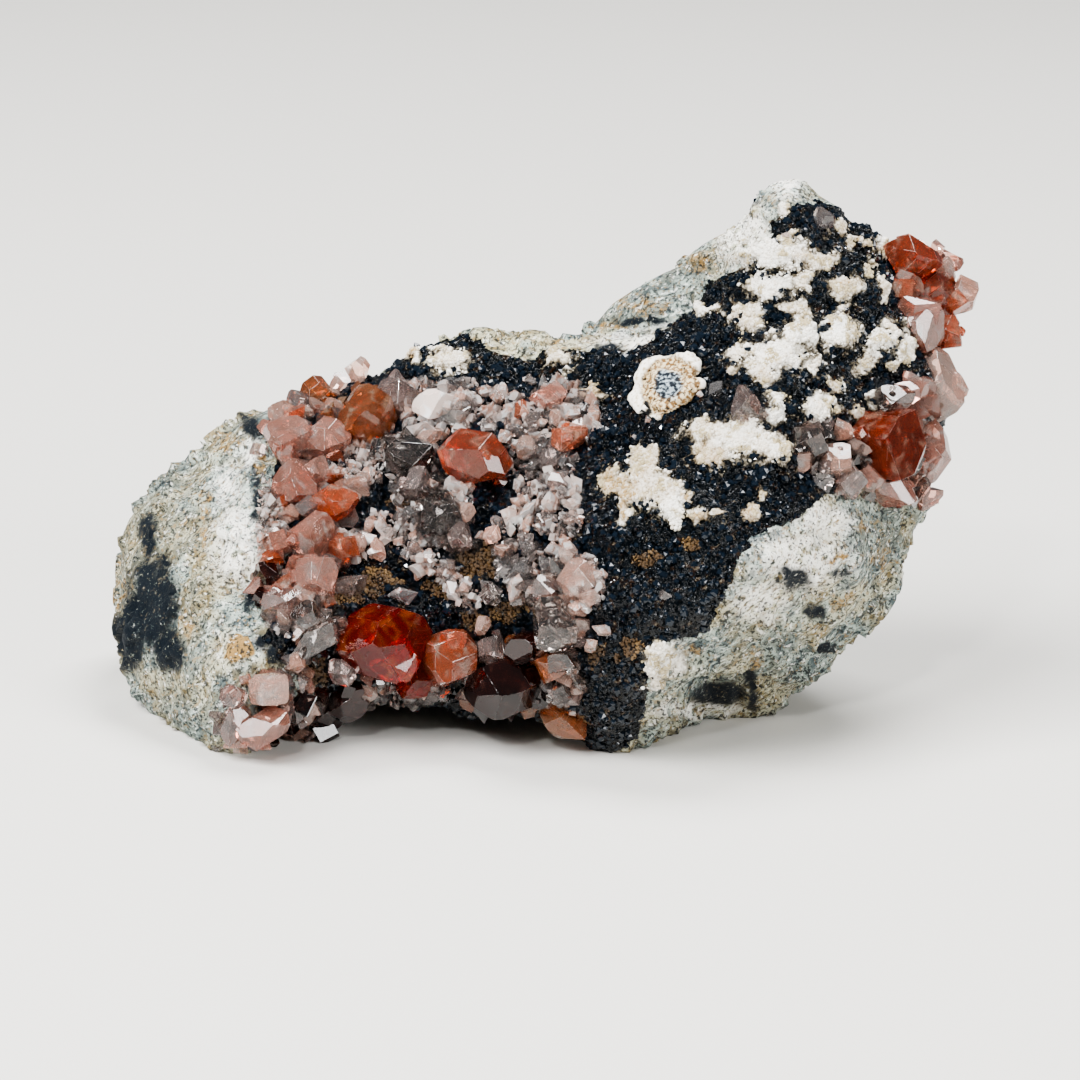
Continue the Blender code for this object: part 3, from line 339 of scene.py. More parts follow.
@dataclass(frozen=True)
class FrontView:
    """Where the eye stands for the front view, in millimetres and degrees."""

    middle: tuple[float, float, float] = (0.004, -6.524, 16.0)
    distance: float = 387.0
    down: float = 15.0
    roll: float = 1.9
    lens: float = 160.0

    @property
    def axes(self) -> np.ndarray:
        """The view's across, up and ahead directions, as rows."""
        down, roll = math.radians(self.down), math.radians(self.roll)
        right = np.array((1.0, 0.0, 0.0))
        up = np.array((0.0, math.sin(down), math.cos(down)))
        ahead = np.array((0.0, math.cos(down), -math.sin(down)))
        lean, shift = math.cos(roll), math.sin(roll)
        return np.array((right * lean + up * shift, up * lean - right * shift, ahead))

    @property
    def eye(self) -> np.ndarray:
        """The eye's place."""
        return np.array(self.middle) - self.axes[2] * self.distance

    def seen(self, points: np.ndarray) -> Places:
        """Finds where points are in the front view.

        Args:
            points: Points in millimetres.

        Returns:
            Rows of across and up.
        """
        local = (points - self.eye) @ self.axes.T
        return local[:, :2] / local[:, 2:] * self.distance

    def sight_line(self, across: float, up: float) -> Vector:
        """Returns the direction from the eye through a place in the view."""
        return Vector(self.axes.T @ np.array((across, up, self.distance))).normalized()

    def camera(self) -> None:
        """Stands the scene's camera at the eye."""
        camera = bpy.data.cameras.new("front_view")
        camera.lens, camera.sensor_width = self.lens, 36.0
        obj = bpy.data.objects.new("front_view", camera)
        bpy.context.scene.collection.objects.link(obj)
        across, up, ahead = (Vector(axis) for axis in self.axes)
        turned = Matrix((across, up, -ahead)).transposed().to_4x4()
        obj.matrix_world = Matrix.Translation(Vector(self.eye) * MM) @ turned
        bpy.context.scene.camera = obj


VIEW = FrontView()


def facing_front(normals: np.ndarray) -> np.ndarray:
    """Returns how much each normal faces the front view, from 0 to 1."""
    return smooth(-0.22, 0.02, -(normals @ VIEW.axes[2]))


def in_outline(places: Places, outline: tuple[Row, ...], soft: float) -> np.ndarray:
    """Finds how far inside an outline places are.

    Args:
        places: Rows of across and up.
        outline: The outline's corners.
        soft: How far the edge fades, in millimetres.

    Returns:
        For each place 1 inside, 0 outside and a soft step at the edge.
    """
    x, y = places[:, 0], places[:, 1]
    odd = np.zeros(len(places), bool)
    near = np.full(len(places), 1e9)
    corners = np.array(outline)
    for (ax, ay), (bx, by) in zip(corners, np.roll(corners, -1, axis=0)):
        with np.errstate(divide="ignore", invalid="ignore"):
            odd ^= ((ay > y) != (by > y)) & (x < (bx - ax) * (y - ay) / (by - ay) + ax)
        length = (bx - ax) ** 2 + (by - ay) ** 2
        along = np.clip(((x - ax) * (bx - ax) + (y - ay) * (by - ay)) / length, 0, 1)
        near = np.minimum(near, np.hypot(x - ax - along * (bx - ax), y - ay - along * (by - ay)))
    return smooth(-soft, soft, np.where(odd, near, -near))


def in_spots(places: Places, rows: tuple[Row, ...], soft: float = 0.45) -> np.ndarray:
    """Finds how far inside any of a set of oval spots places are.

    Args:
        places: Rows of across and up.
        rows: The spots, each starting with across, up, half its width and half its height.
        soft: The share of a spot's size over which its edge fades.

    Returns:
        For each place 1 inside a spot, 0 outside all of them and a soft step at the edge.
    """
    best = np.zeros(len(places))
    for across, up, half_width, half_height, *_ in rows:
        r = np.hypot((places[:, 0] - across) / half_width, (places[:, 1] - up) / half_height)
        best = np.maximum(best, 1 - smooth(1 - soft, 1 + soft, r))
    return best


def spread(outline: tuple[Row, ...], step: float, jitter: float, rng: np.random.Generator) -> Places:
    """Lays a grid of places over an outline's box and shakes it.

    Args:
        outline: The outline's corners.
        step: How far apart the places are.
        jitter: The most that one moves each way, as a share of the step.
        rng: Where the shaking comes from.

    Returns:
        Rows of across and up, some of them outside the outline.
    """
    low, high = np.min(outline, axis=0), np.max(outline, axis=0)
    grid = [(x, y) for x in np.arange(low[0], high[0], step) for y in np.arange(low[1], high[1], step)]
    return np.array(grid) + rng.uniform(-jitter, jitter, (len(grid), 2)) * step


class Ground:
    """A surface to stand things on."""

    def __init__(self, obj: bpy.types.Object) -> None:
        """Reads the surface from an object's mesh."""
        points = [Vector(p) for p in points_of(obj)]
        self.tree = BVHTree.FromPolygons(points, [tuple(f.vertices) for f in obj.data.polygons])

    def under(self, across: float, up: float) -> tuple[Vector, Vector]:
        """Finds the surface at a place in the front view.

        Args:
            across: The place's distance across.
            up: The place's height.

        Returns:
            The surface point there, or beside it where the view misses the surface, and the surface's normal.
        """
        ahead, eye = VIEW.sight_line(across, up), Vector(VIEW.eye)
        hit, normal = self.tree.ray_cast(eye, ahead)[:2]
        if hit is None:
            beside = [eye + ahead * (VIEW.distance + step) for step in range(-20, 26)]
            hit = min(beside, key=lambda p: self.tree.find_nearest(p)[3])
            normal = self.tree.find_nearest(hit)[1]
        return hit, normal


# ---------------------------------------------------------------------------------------------------------
# Finishes

Socket = bpy.types.NodeSocket


class Node(Enum):
    """The shader nodes in use: type, the sockets that its inputs go to in order, output and settings."""

    PLACE = ("ShaderNodeTexCoord", (), "Object", {})
    MARK = ("ShaderNodeAttribute", (), "Fac", {})
    MARKED_PLACE = ("ShaderNodeAttribute", (), "Vector", {})
    NOISE = ("ShaderNodeTexNoise", ("Vector", "Scale", "Detail", "Roughness", "Distortion"), 0, {})
    CELLS = ("ShaderNodeTexVoronoi", ("Vector", "Scale"), "Distance", {})
    CELL_COLOURS = ("ShaderNodeTexVoronoi", ("Vector", "Scale"), "Color", {})
    DRAWN_OUT = ("ShaderNodeMapping", ("Vector", "Rotation", "Scale"), 0, {})
    MIX = ("ShaderNodeMix", (0, 6, 7), 2, {"data_type": "RGBA"})
    STEP = ("ShaderNodeMapRange", ("Value", "From Min", "From Max"), 0, {"interpolation_type": "SMOOTHSTEP"})
    RANGE = ("ShaderNodeMapRange", ("Value", "From Min", "From Max", "To Min", "To Max"), 0, {})
    SUM = ("ShaderNodeMath", (0, 1), 0, {"operation": "ADD"})
    PRODUCT = ("ShaderNodeMath", (0, 1), 0, {"operation": "MULTIPLY"})
    SHARE = ("ShaderNodeMath", (0, 1), 0, {"operation": "MULTIPLY", "use_clamp": True})
    VECTORS = ("ShaderNodeVectorMath", (0, 1), 0, {})
    SCALED = ("ShaderNodeVectorMath", (0, "Scale"), 0, {"operation": "SCALE"})
    BUMP = ("ShaderNodeBump", ("Height", "Strength", "Distance", "Normal"), 0, {})
    ABSORPTION = ("ShaderNodeVolumeAbsorption", ("Color", "Density"), 0, {})
    SHADER = ("ShaderNodeBsdfPrincipled",
              ("Base Color", "Roughness", "IOR", "Transmission Weight", "Normal"), 0, {})
    OUTPUT = ("ShaderNodeOutputMaterial", ("Surface", "Volume"), None, {})


class Recipe:
    """One material, as its nodes are put together."""

    def __init__(self, name: str, plain: str) -> None:
        """Starts an empty material, with the colour that it has outside a render."""
        self.material = bpy.data.materials.new(name)
        self.material.use_nodes = True
        self.material.node_tree.nodes.clear()
        self.material.diffuse_color = linear(plain)

    def add(self, kind: Node, *inputs: Socket | str | float | Row | None,
            **settings: object) -> Socket | None:
        """Adds one node with its settings and links.

        Args:
            kind: Which node.
            inputs: What its sockets get: another node's output, a hex colour or a value. None skips one.
            settings: The node's settings, over those of its kind.

        Returns:
            The node's output, where it has one.
        """
        type_name, sockets, output, usual = kind.value
        tree = self.material.node_tree
        node = tree.nodes.new(type_name)
        for key, value in {**usual, **settings}.items():
            setattr(node, key, value)
        for socket, value in zip(sockets, inputs):
            if isinstance(value, Socket):
                tree.links.new(value, node.inputs[socket])
            elif value is not None:
                node.inputs[socket].default_value = linear(value) if isinstance(value, str) else value
        return None if output is None else node.outputs[output]


@dataclass(frozen=True)
class RockFinish:
    """Weathered silicified rock, broken: dull grey-green and tan streaks, peppered and stained, with painted
    shade in its dents, cracks and crevices.

    A glittering black oxide crust, brown sugary ground with painted shade between its grains, and chalky
    white coatings lie over it by their masks.
    """

    name: str = "weathered_silicified_rock"
    streak: float = 0.7
    speck: float = 0.3
    glitter: float = 0.2

    def make(self) -> bpy.types.Material:
        """Returns the material. It reads the masks that the rock's mesh carries."""
        recipe = Recipe(self.name, "#b7b2a5")
        add, at = recipe.add, recipe.add(Node.PLACE)
        # The mesh carries places that are already turned and drawn out along the rock's banding.
        banded = add(Node.MARKED_PLACE, attribute_name="banding")
        names = ("dull", "bright", "tan", "shade", "crust", "brown", "core", "tint")
        mask = {name: add(Node.MARK, attribute_name=name) for name in names}

        streaks = add(Node.NOISE, banded, per(self.streak), 3, 0.6)
        cool = add(Node.MIX, add(Node.STEP, streaks, 0.38, 0.60), "#505c5d", "#a6b2a9")
        warm = add(Node.MIX, add(Node.STEP, streaks, 0.36, 0.58), "#7c6f4e", "#bab79e")
        colour = add(Node.MIX, add(Node.STEP, add(Node.NOISE, at, per(6.0), 2, 0.6), 0.44, 0.60), cool, warm)
        olive = add(Node.STEP, add(Node.NOISE, banded, per(2.2), 2, 0.6), 0.36, 0.60)
        olive = add(Node.SHARE, mask["dull"], olive)
        bright = add(Node.STEP, add(Node.NOISE, at, per(0.8), 3, 0.6), 0.36, 0.5)
        bright = add(Node.SHARE, mask["bright"], bright)
        flecks = add(Node.STEP, add(Node.NOISE, at, per(0.45), 2, 0.7), 0.57, 0.63)
        stains = add(Node.STEP, add(Node.SUM, mask["tan"], add(Node.NOISE, at, per(0.7), 3, 0.6)), 0.92, 1.2)
        tan = add(Node.SHARE, add(Node.SHARE, flecks, 0.55), stains, operation="MAXIMUM")
        chips = add(Node.STEP, add(Node.NOISE, at, per(0.5), 2, 0.7), 0.58, 0.64)
        # Clean white rock has a little less pepper in it.
        pepper = add(Node.SUM, add(Node.NOISE, at, per(self.speck), 3, 0.7), add(Node.PRODUCT, bright, -0.05))
        pepper = add(Node.STEP, pepper, 0.52, 0.56)
        # Dark blue-black stains, mottled, and painted shade in the dents, cracks and crevices, from the shade
        # mask.
        mottle = add(Node.STEP, add(Node.NOISE, at, per(0.42), 3, 0.85), 0.30, 0.46)
        mottle = add(Node.SHARE, mottle, 0.25, operation="ADD")
        shade = add(Node.SUM, mask["shade"], add(Node.NOISE, banded, per(1.3), 3, 0.6))
        shade = add(Node.SHARE, add(Node.STEP, shade, 0.55, 1.35), mottle)
        for share, tone in (
            (add(Node.SHARE, olive, 0.8), "#6f7368"), (bright, "#f6f4ec"), (tan, "#97794a"),
            (add(Node.SHARE, chips, 0.6), "#eeeee8"), (add(Node.SHARE, pepper, 0.88), "#1a2024"),
            (shade, "#0f171e"),
        ):
            colour = add(Node.MIX, share, colour, tone)

        edge = add(Node.PRODUCT, add(Node.SUM, add(Node.NOISE, at, per(0.9), 3, 0.7), -0.5), 1.6)
        crust = add(Node.STEP, add(Node.SUM, mask["crust"], edge), 0.42, 0.55)
        rust = add(Node.STEP, add(Node.NOISE, at, per(0.9), 1, 0.6), 0.60, 0.68)
        black = add(Node.MIX, rust, "#03070b", "#20130c")
        brown = add(Node.STEP, add(Node.SUM, mask["brown"], edge), 0.42, 0.55)
        # Brown at the middle of each 0.4 mm grain, near black toward its edges: painted shade between the
        # grains.
        earthy = add(Node.MIX, add(Node.STEP, add(Node.CELLS, at, per(0.4)), 0.15, 0.6), "#5f4a33", "#140d08")
        # The chalky coating thins out to a greyish bloom at its ragged edges.
        ragged = add(Node.SUM, add(Node.NOISE, at, per(0.3), 2, 0.7), edge)
        chalky = add(Node.SUM, mask["core"], ragged)
        white = add(Node.STEP, chalky, 0.66, 1.18)
        chalk = add(Node.MIX, add(Node.STEP, chalky, 0.85, 1.45), "#7d735f", "#efede6")
        chalk = add(Node.MIX, add(Node.SHARE, mask["tint"], 0.6), chalk, "#a98d62")
        for share, coat in ((crust, black), (brown, earthy), (white, chalk)):
            colour = add(Node.MIX, share, colour, coat)

        shiny = add(Node.SHARE, crust, add(Node.SHARE, 1.0, white, operation="SUBTRACT"))
        roughness = add(Node.RANGE, shiny, None, None, 0.8, 0.13)
        bump = add(Node.BUMP, add(Node.NOISE, at, per(0.3), 2, 0.7), 0.9, 0.3 * MM)
        bump = add(Node.BUMP, streaks, 0.2, 0.3 * MM, bump)
        # Each cell of the glitter is one tiny crystal face, turned its own way.
        cells_turned = add(Node.CELL_COLOURS, at, per(self.glitter))
        turned = add(Node.VECTORS, cells_turned, (0.5, 0.5, 0.5), operation="SUBTRACT")
        turned = add(Node.SCALED, turned, add(Node.PRODUCT, shiny, 1.7))
        turned = add(Node.VECTORS, turned, bump)
        normal = add(Node.VECTORS, turned, operation="NORMALIZE")
        add(Node.OUTPUT, add(Node.SHADER, colour, roughness, 1.42, None, normal))
        return recipe.material


@dataclass(frozen=True)
class GrainFinish:
    """A finish for a layer of tiny grains, each a little different from the next."""

    name: str
    dark: str
    light: str
    spot: str
    roughness: float
    ior: float = 1.5
    clearness: float = 0.0
    patch: float = 1.4
    spotted: tuple[float, float] = (0.6, 0.68)

    def make(self) -> bpy.types.Material:
        """Returns the material, which reads each grain's own tint."""
        recipe = Recipe(self.name, self.light)
        add, at = recipe.add, recipe.add(Node.PLACE)
        colour = add(Node.MIX, add(Node.MARK, attribute_name="tint"), self.light, self.dark)
        cloud = add(Node.STEP, add(Node.NOISE, at, per(self.patch), 1), *self.spotted)
        colour = add(Node.MIX, cloud, colour, self.spot)
        add(Node.OUTPUT, add(Node.SHADER, colour, self.roughness, self.ior, self.clearness))
        return recipe.material


@dataclass(frozen=True)
class CrystalFinish:
    """Natural rhodochrosite: glassy growth faces over a body that is clear in part and cloudy in part.

    Its colour deepens in zones, pale veils drift through it, and its worn edges are frosted.
    """

    name: str
    body: str
    deep: str
    veil: str
    through: str
    density: float
    clearness: float
    roughness: float = 0.02
    veiled: tuple[float, float] = (0.50, 0.72)
    zone: float = 1.6
    frost: str = "#f3ddd2"
    frosting: float = 0.75
    lined: float = 0.08
    ior: float = 1.66

    def make(self) -> bpy.types.Material:
        """Returns the material, with colour zones, cloudy veils, worn pale edges and plain absorption."""
        recipe = Recipe(self.name, self.body)
        add, at = recipe.add, recipe.add(Node.PLACE)
        depth = add(Node.SUM, add(Node.NOISE, at, per(self.zone), 1), add(Node.MARK, attribute_name="tint"))
        wisps = add(Node.NOISE, at, per(self.zone * 0.9), 2, None, 0.9)
        worn = add(Node.STEP, add(Node.NOISE, at, per(0.45), 1), 0.40, 0.58)
        worn = add(Node.SHARE, add(Node.MARK, attribute_name="edge"), worn)
        colour = add(Node.MIX, add(Node.STEP, depth, 0.55, 1.45), self.body, self.deep)
        colour = add(Node.MIX, add(Node.STEP, wisps, *self.veiled), colour, self.veil)
        colour = add(Node.MIX, add(Node.SHARE, worn, self.frosting), colour, self.frost)
        dull = add(Node.RANGE, wisps, 0.60, 0.78, self.roughness, self.roughness + 0.08)
        dull = add(Node.SHARE, dull, add(Node.SHARE, worn, 0.3), operation="ADD")
        lines = None
        if self.lined:
            along = add(Node.DRAWN_OUT, at, (0.5, 0.7, 0.3), (1, 0.12, 1))
            lines = add(Node.BUMP, add(Node.NOISE, along, per(0.28), 2), self.lined, 0.03 * MM)
        shader = add(Node.SHADER, colour, dull, self.ior, self.clearness, lines)
        inside = add(Node.ABSORPTION, self.through, self.density) if self.density else None
        add(Node.OUTPUT, shader, inside)
        return recipe.material


@dataclass(frozen=True)
class FlawFinish:
    """A healed crack inside a crystal: a thin silvery sheet, clear in part."""

    name: str
    colour: str
    ior: float = 1.4
    clearness: float = 0.96

    def make(self) -> bpy.types.Material:
        """Returns the material, glassy with cloudy wisps."""
        recipe = Recipe(self.name, self.colour)
        add, at = recipe.add, recipe.add(Node.PLACE)
        wisps = add(Node.NOISE, at, per(0.7), 1, None, 1.2)
        rough = add(Node.RANGE, wisps, 0.4, 0.65, 0.0, 0.15)
        bump = add(Node.BUMP, wisps, 0.3, 0.12 * MM)
        add(Node.OUTPUT, add(Node.SHADER, self.colour, rough, self.ior, self.clearness, bump))
        return recipe.material


class Tone(Enum):
    """The crystals' colours."""

    RED = CrystalFinish(
        "clear_orange_red_rhodochrosite", "#e8380f", "#ad1a04", "#f57a3c", "#ff5a24", 190, 0.9,
        frost="#f4a47c", frosting=0.15, ior=1.5)
    SALMON = CrystalFinish(
        "salmon_rhodochrosite", "#fa9f7e", "#e27850", "#ffd4be", "#ffa47c", 80, 0.86, frosting=0.6)
    BRICK = CrystalFinish(
        "brick_red_rhodochrosite", "#c96a4c", "#9c4128", "#e6ab92", "#da6a46", 150, 0.86, frosting=0.15,
        ior=1.5)
    WINE = CrystalFinish(
        "wine_red_rhodochrosite", "#5a231a", "#2c0f0a", "#7c463a", "#96331f", 380, 0.9, frosting=0.1)
    AMBER = CrystalFinish(
        "amber_brown_rhodochrosite", "#e59a6c", "#be6a3e", "#f8d2b2", "#ee9c64", 110, 0.87, frosting=0.3)
    PEACH = CrystalFinish(
        "peach_rhodochrosite", "#fddccd", "#efbca7", "#fff4ee", "#fdd4c3", 20, 0.82)
    PINK = CrystalFinish(
        "rose_pink_rhodochrosite", "#f8c3b2", "#e29e89", "#ffe6dc", "#f7b3a0", 50, 0.85)
    SMOKY = CrystalFinish(
        "smoky_mauve_rhodochrosite", "#ead6d0", "#c9aea6", "#f8efec", "#e2c9c1", 36, 0.92)
    CLEAR = CrystalFinish(
        "colourless_rhodochrosite", "#e2dcd8", "#cfc7c3", "#ffffff", "#f8f4f2", 6, 0.985, 0.0, (0.62, 0.8),
        lined=0.0)
    MILKY = CrystalFinish(
        "milky_white_rhodochrosite", "#f8f1ec", "#efdcd2", "#ffffff", "#fbeee8", 20, 0.3, 0.12)


class Flaw(Enum):
    """The sheets inside the crystals."""

    SILVERY = FlawFinish("silvery_healed_crack", "#f7efec")
    GLOWING = FlawFinish("orange_healed_crack", "#ffb184")


# ---------------------------------------------------------------------------------------------------------
# Crystals

FACE_LEAN = math.radians(43.4)  # how far a rhombohedron's face leans from the long axis
TOOTH_LEAN = math.radians(68.2)  # and a dog-tooth face
TOOTH_SPLIT = math.radians(19.1)  # half the angle between two dog-tooth faces that share an edge
# A crystal's width in millimetres from which it has side growths, a healed crack, most of its dog-tooth
# faces, and a second crack.
GROWN, CRACKED, TOOTHED, LARGE = 2.2, 2.4, 3.1, 3.6
SHEET = 0.04  # how thick a healed crack is, in millimetres
WARM = (Tone.RED, Tone.SALMON, Tone.AMBER, Tone.BRICK)  # their healed cracks glow orange


def leaning(lean: float, turn: float) -> Vector:
    """Returns a direction that leans from +Z by an angle, turned about +Z by another."""
    return Vector((math.sin(lean) * math.cos(turn), math.sin(lean) * math.sin(turn), math.cos(lean)))


def crystal_planes(bluntness: float, share: float, rng: random.Random) -> list[tuple[Vector, Vector]]:
    """Gives the growth faces of one crystal: three-fold ends and dog-tooth sides.

    Args:
        bluntness: How blunt the ends are: 1 is a block, 2 a dog tooth.
        share: The share of the twelve dog-tooth faces that it has.
        rng: Where its unevenness comes from.

    Returns:
        A point and a direction for each face.
    """
    planes = []
    for third in range(3):
        for end in (0, 1):
            turn = math.tau * third / 3 + math.pi / 3 * end
            flip = Vector((1, 1, -1 if end else 1))
            planes.append((leaning(FACE_LEAN, turn) * flip, bluntness * rng.uniform(0.86, 1.12)))
            for side in (-1, 1):
                distance = rng.uniform(0.88, 1.12)
                if rng.random() < share:
                    planes.append((leaning(TOOTH_LEAN, turn + side * TOOTH_SPLIT) * flip, distance))
    return [(way * distance, way) for way, distance in planes]


def any_way(rng: random.Random) -> Vector:
    """Returns a direction chosen at random."""
    return Vector([rng.gauss(0, 1) for _ in range(3)]).normalized()


def bisected(point: Vector, way: Vector) -> None:
    """Cuts away what lies past a plane from the mesh that is being edited, and closes the cut."""
    bpy.ops.mesh.select_all(action="SELECT")
    bpy.ops.mesh.bisect(plane_co=point, plane_no=way, use_fill=True, clear_outer=True, threshold=1e-7)


def chips(points: np.ndarray, count: int, rng: random.Random) -> list[tuple[Vector, Vector]]:
    """Chooses planes that break off a little of a shape's corners.

    Args:
        points: The shape's corners.
        count: How many pieces break off.
        rng: Where the choice comes from.

    Returns:
        A point and a direction for each plane.
    """
    planes = []
    for _ in range(count):
        way = any_way(rng)
        reach = float((points @ np.array(way)).max())
        planes.append((way * reach * rng.uniform(0.82, 0.96), way))
    return planes


def cut_crystal(name: str, planes: list[tuple[Vector, Vector]], size: Vector, worn: float,
                rng: random.Random, broken: int = 3) -> bpy.types.Object:
    """Cuts a crystal out of a block, face by face, and wears its edges.

    Args:
        name: The object's name.
        planes: A point and a direction for each face.
        size: How wide, thick and long it is, in millimetres.
        worn: How wide its worn edges are, in millimetres, or 0 for sharp ones.
        rng: Where its chipped corners come from.
        broken: How many corners are chipped.

    Returns:
        The crystal, at the origin and standing on +Z, with its worn edges in the second material slot.
    """
    bpy.ops.object.select_all(action="DESELECT")
    bpy.ops.mesh.primitive_cube_add(size=10)
    obj = bpy.context.active_object
    obj.name = name
    obj.data.materials.append(None)
    obj.data.materials.append(None)
    with editing():
        for point, way in planes:
            bisected(point, way)
        bpy.ops.mesh.select_all(action="SELECT")
        bpy.ops.mesh.remove_doubles(threshold=0.03)
        bpy.ops.mesh.dissolve_limited(angle_limit=0.01)
    points = points_of(obj)
    low, high = points.min(axis=0), points.max(axis=0)
    points = (points - (low + high) / 2) / (high - low) * np.array(size)
    put_points(obj, points)
    with editing():
        for point, way in chips(points, broken, rng):
            bisected(point * MM, way)
        bpy.ops.mesh.select_all(action="SELECT")
        if worn:
            bpy.ops.mesh.bevel(offset=worn * MM, segments=1, affect="EDGES", material=1, clamp_overlap=True)
        bpy.ops.mesh.select_all(action="SELECT")
        bpy.ops.mesh.normals_make_consistent(inside=False)
    return obj


def joined(objects: list[bpy.types.Object], name: str) -> bpy.types.Object:
    """Joins objects into the first and names it."""
    alone(objects[0])
    for obj in objects:
        obj.select_set(True)
    if len(objects) > 1:
        bpy.ops.object.join()
    objects[0].name = objects[0].data.name = name
    return objects[0]


@dataclass(frozen=True)
class Crystal:
    """One named crystal: its place in the front view, its size in millimetres and how it leans, in degrees.

    It is turned in the view from across, leans toward the viewer and is spun about its long axis. Its middle
    stands out of the rock by a share of its width. Its one flat face, if it has one, is given by the way that
    it looks, across, up and toward the viewer, and by its distance from the crystal's middle.
    """

    across: float
    up: float
    long: float
    wide: float
    turn: float
    toward: float
    spin: float
    bluntness: float
    out: float
    tone: Tone
    flat: tuple[float, float, float, float] | None = None

    def flatten(self, body: bpy.types.Object, matrix: Matrix) -> None:
        """Gives the crystal its one large flat face.

        Args:
            body: The crystal, at the origin.
            matrix: What carries it to its place.
        """
        across, up, ahead = (Vector(axis) for axis in VIEW.axes)
        right, high, near, distance = self.flat
        way = (matrix.to_3x3().inverted() @ (across * right + up * high - ahead * near)).normalized()
        alone(body)
        with editing():
            bisected(way * distance * MM, way)

    def matrix(self, ground: Ground, lift: float) -> Matrix:
        """Works out where the crystal stands and how it is turned.

        Args:
            ground: The rock's surface.
            lift: How much further out it stands where it grows from a crust.

        Returns:
            The matrix that carries it from the origin to its place.
        """
        turn, toward, spin = (math.radians(angle) for angle in (self.turn, self.toward, self.spin))
        across, up, ahead = (Vector(axis) for axis in VIEW.axes)
        axis = (across * math.cos(turn) + up * math.sin(turn)) * math.cos(toward) - ahead * math.sin(toward)
        side = axis.cross(ahead).normalized()
        turned = Matrix((side, axis.cross(side), axis)).transposed() @ Matrix.Rotation(spin, 3, "Z")
        line = VIEW.sight_line(self.across, self.up)
        place = ground.under(self.across, self.up)[0] - line * (self.out * self.wide + lift)
        return Matrix.Translation(place * MM) @ turned.to_4x4()

    def flaws(self, hull: bpy.types.Object, rng: random.Random) -> list[bpy.types.Object]:
        """Makes the healed cracks inside the crystal.

        Args:
            hull: The crystal, at the origin.
            rng: Where their places come from.

        Returns:
            Thin closed sheets, trimmed to fit inside.
        """
        inner = [(f.center * 0.86, f.normal.copy()) for f in hull.data.polygons if f.area > 0.1 * MM**2]
        sheets = []
        for _ in range(2 if self.wide > LARGE else 1):
            bpy.ops.object.select_all(action="DESELECT")
            bpy.ops.mesh.primitive_grid_add(x_subdivisions=9, y_subdivisions=9, size=1.6 * self.long * MM)
            sheet = bpy.context.active_object
            with editing():
                bpy.ops.transform.vertex_random(offset=0.16 * self.wide * MM, seed=rng.randrange(999))
                bpy.ops.mesh.vertices_smooth(factor=0.5, repeat=1)
            tilt = leaning(FACE_LEAN, math.tau * rng.randrange(3) / 3 + rng.gauss(0, 0.25))
            shift = Vector([rng.uniform(-0.25, 0.25) * self.wide * MM for _ in range(3)])
            turned = tilt.to_track_quat("Z", "Y").to_matrix().to_4x4()
            sheet.data.transform(Matrix.Translation(shift) @ turned)
            modified(sheet, "SOLIDIFY", thickness=SHEET * MM, offset=0)
            reach = rng.uniform(0.2, 0.45) * self.wide * MM
            side = any_way(rng)
            with editing():
                for point, way in (*inner, (side * reach, side), (-side * reach * 1.2, -side)):
                    bisected(point, way)
            if sheet.data.polygons:
                bpy.ops.object.shade_smooth_by_angle(angle=math.radians(40))
                sheets.append(sheet)
            else:
                bpy.data.objects.remove(sheet)
        return sheets

    def stand(self, ground: Ground, lift: float, rng: random.Random) -> list[bpy.types.Object]:
        """Cuts the crystal, with its healed cracks and side growths, and stands it on the rock.

        Args:
            ground: The rock's surface.
            lift: How much further out it stands where it grows from a crust.
            rng: Where its unevenness comes from.

        Returns:
            Its pieces, in their places, their objects at the origin.
        """
        share = 0.5 if self.wide < TOOTHED else 0.8
        size = Vector((self.wide, self.wide * rng.uniform(0.88, 1.0), self.long))
        worn = 0.016 + 0.003 * self.wide
        body = cut_crystal("crystal", crystal_planes(self.bluntness, share, rng), size, worn, rng)
        matrix = self.matrix(ground, lift)
        if self.flat:
            self.flatten(body, matrix)
        pieces = [body]
        flaw = Flaw.GLOWING if self.tone in WARM else Flaw.SILVERY
        cracked = self.wide > CRACKED and self.tone not in (Tone.WINE, Tone.CLEAR)
        sheets = self.flaws(body, rng) if cracked else []
        for _ in range(0 if self.wide < GROWN else 1 if self.flat else rng.choice((1, 2, 3))):
            small = size * (0.18 + 0.38 * rng.random() ** 1.6)
            planes = crystal_planes(self.bluntness, 0.5, rng)
            growth = cut_crystal("side_growth", planes, small, worn, rng, 2)
            way = leaning(math.radians(rng.uniform(70, 150)), rng.uniform(0, math.tau))
            reach = Vector((size.x - small.x, size.y - small.y, size.z - small.z)) * 0.56 * MM
            place = Vector((way.x * reach.x, way.y * reach.y, way.z * reach.z))
            tilted = Matrix.Rotation(rng.gauss(0, 0.12), 4, "X") @ Matrix.Rotation(rng.gauss(0, 0.12), 4, "Y")
            growth.data.transform(Matrix.Translation(place) @ tilted)
            pieces.append(growth)
        for piece in (*pieces, *sheets):
            piece.data.transform(matrix)
            edge = np.array([f.material_index for f in piece.data.polygons])
            is_sheet = piece in sheets
            piece.data.polygons.foreach_set("material_index", np.zeros(len(edge), np.int32))
            painted(piece, "edge", np.zeros(len(edge)) if is_sheet else edge, "FACE")
            painted(piece, "tint", np.full(len(piece.data.vertices), rng.uniform(0.2, 0.8)))
            piece.data.materials.clear()
            piece.data.materials.append(finish(flaw if is_sheet else self.tone))
        return pieces + sheets


_made: dict[str, bpy.types.Material] = {}
FAINT_DENSITY = 60  # per metre: below it, a millimetre takes out under four percent of the light


